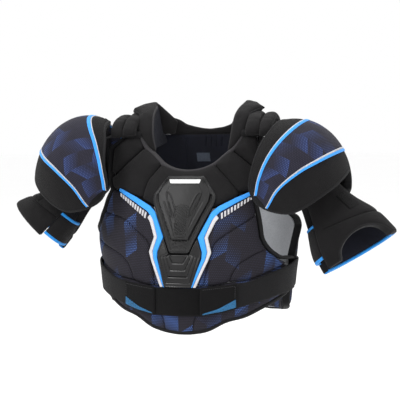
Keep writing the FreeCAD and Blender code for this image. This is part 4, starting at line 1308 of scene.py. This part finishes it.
for side, sg in SIDES:
    A = ARMS[sg]
    t_top, t_far = A["st"][0][0] + 2, A["far"]
    lo_, hi_ = -139.5, A["near"]
    w0_, w1_ = A["wrap"]
    near_edge = [(ph, t_end(sg, ph)) for ph in np.linspace(14, hi_, 34)]
    far_edge = [(ph, t_end(sg, ph)) for ph in np.linspace(lo_, 14, 34)]
    bottom_edge = far_edge + near_edge[1:]
    out_arm = [(hi_, t_top), (lo_, t_top)] + bottom_edge
    body = "arm_" + side
    o = arm_dom(out_arm)
    s0, s1_ = A["strap"]
    tm = (s0 + s1_) / 2
    seams = [(arm_dom([(ph, t_top + 6), (ph, t_far - 10)]), 8, 3.4) for ph in (-70, 4)] + [(arm_dom([(-136, tm), (-20, tm + 4), (40, tm), (136, tm - 12)]), 8, 3.0)]
    g = Panel("arm_guard_cloth_" + side, soften(o, 4), arm_map(sg, -4.4), thick=5.6, edge=3.0, R=8, step=2.6, seams=seams, wr=(1.2, 22), seed=sg * 9)
    puff(g.ob, 1.6)
    finish_piece(g.ob, black, body, ["arm_guard_" + side])
    l = Panel("arm_lining_cloth_" + side, soften(o, 4), arm_map(sg, -4.8), thick=0.2, edge=0.2, R=4, step=3.4, under=(5.4, 6), wr=(0, 0))
    finish_piece(l.ob, navy, body, ["arm_lining_" + side])
    fa_ = arm_map(sg, 0)
    for nm, pts, mt in (("far", far_edge, bind_blue), ("near", near_edge, bind_black), ("top", [(hi_, t_top), (lo_, t_top)], bind_black)):
        ln = dens(arm_dom(pts), 3, False)
        h = np.full(len(ln), -5.0)
        a, b = fa_(ln, h), fa_(ln, h + 1)
        n = (b - a) / np.linalg.norm(b - a, axis=1, keepdims=True)
        finish_piece(sweep("arm_edge_%s_%s" % (nm, side), a, n, 2.6, 5.6, n=16, power=3, jitter=0.05), mt, body)
    for q, ph in (("front", hi_), ("rear", lo_)):
        ln = dens(arm_dom([(ph, t_top), (ph, t_end(sg, ph))]), 3, False)
        h = np.full(len(ln), -5.0)
        a, b = fa_(ln, h), fa_(ln, h + 1)
        n = (b - a) / np.linalg.norm(b - a, axis=1, keepdims=True)
        finish_piece(sweep("arm_edge_%s_%s" % (q, side), a, n, 1.8, 5.4, n=16, power=3), bind_black, body)
    l0, l1 = A["patch"]
    pt = Panel("arm_loop_cloth_" + side, soften(arm_dom([(A["turn"][0], l0), (A["turn"][1], l0), (A["turn"][1], l1), (A["turn"][0], l1)]), 3), arm_map(sg, 0.2), thick=2.8, edge=1.4, R=3, step=2.2, wr=(0.2, 60))
    finish_piece(pt.ob, loop_m, body, ["arm_loop_patch_" + side])
    sp = Panel("arm_wrap_" + side, soften(arm_dom([(w0_, s0 + 1), (w1_, s0 + 1), (w1_, s1_ - 1), (w0_, s1_ - 1)]), 3), arm_map(sg, -4.0), thick=4.2, edge=2.4, R=8, step=2.4, wr=(0.8, 30))
    finish_piece(sp.ob, black_soft, "strap_" + side, ["arm_strap_" + side])
    for q, tt in (("upper", s0 + 1), ("lower", s1_ - 1)):
        ln = dens(arm_dom([(w0_, tt), (w1_, tt)]), 3, False)
        h = np.full(len(ln), -2.4)
        a, b = fa_(ln, h), fa_(ln, h + 1)
        n = (b - a) / np.linalg.norm(b - a, axis=1, keepdims=True)
        finish_piece(sweep("arm_wrap_edge_%s_%s" % (q, side), a, n, 2.8, 2.6, n=14, power=3), bind_blue, "strap_" + side)

for n_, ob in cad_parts.items():
    if n_.startswith(("shoulder_web", "arm_hanger")):
        ob.data.materials.clear()
        ob.data.materials.append(elastic)
    if n_.startswith("cap_shell"):
        ob.data.materials.clear()
        ob.data.materials.append(shell_m)

# ------------------------------------------------------------------ floor and light
me = bpy.data.meshes.new("floor")
me.from_pydata([(-14, -14, -0.62), (14, -14, -0.62), (14, 14, -0.62), (-14, 14, -0.62)], [], [(0, 1, 2, 3)])
floor = bpy.data.objects.new("floor", me)
scene.collection.objects.link(floor)
M = Mat("pale_floor", rough=0.9, spec=0.1)
M.colour(M.mix(M.noise(M.place(), 3, 3), grey(0.975), grey(0.995)))
floor.data.materials.append(M.m)

world = bpy.data.worlds.new("studio")
scene.world = world
world.use_nodes = True
world.node_tree.nodes["Background"].inputs[0].default_value = (1, 1, 1, 1)
world.node_tree.nodes["Background"].inputs[1].default_value = 1.0


def light(name, loc, target, size, power, color=(1, 1, 1)):
    d = bpy.data.lights.new(name, "AREA")
    d.size = size
    d.energy = power
    d.color = color
    o = bpy.data.objects.new(name, d)
    scene.collection.objects.link(o)
    o.location = loc
    o.rotation_euler = (Vector(target) - Vector(loc)).to_track_quat("-Z", "Y").to_euler()
    return o


light("key", (-1.1, -1.6, 1.6), (0, 0, -0.1), 1.0, 34)
light("fill", (1.6, -1.4, 0.5), (0, 0, -0.1), 1.2, 12)
light("top", (0.0, 0.4, 2.0), (0, 0, -0.1), 1.2, 18)
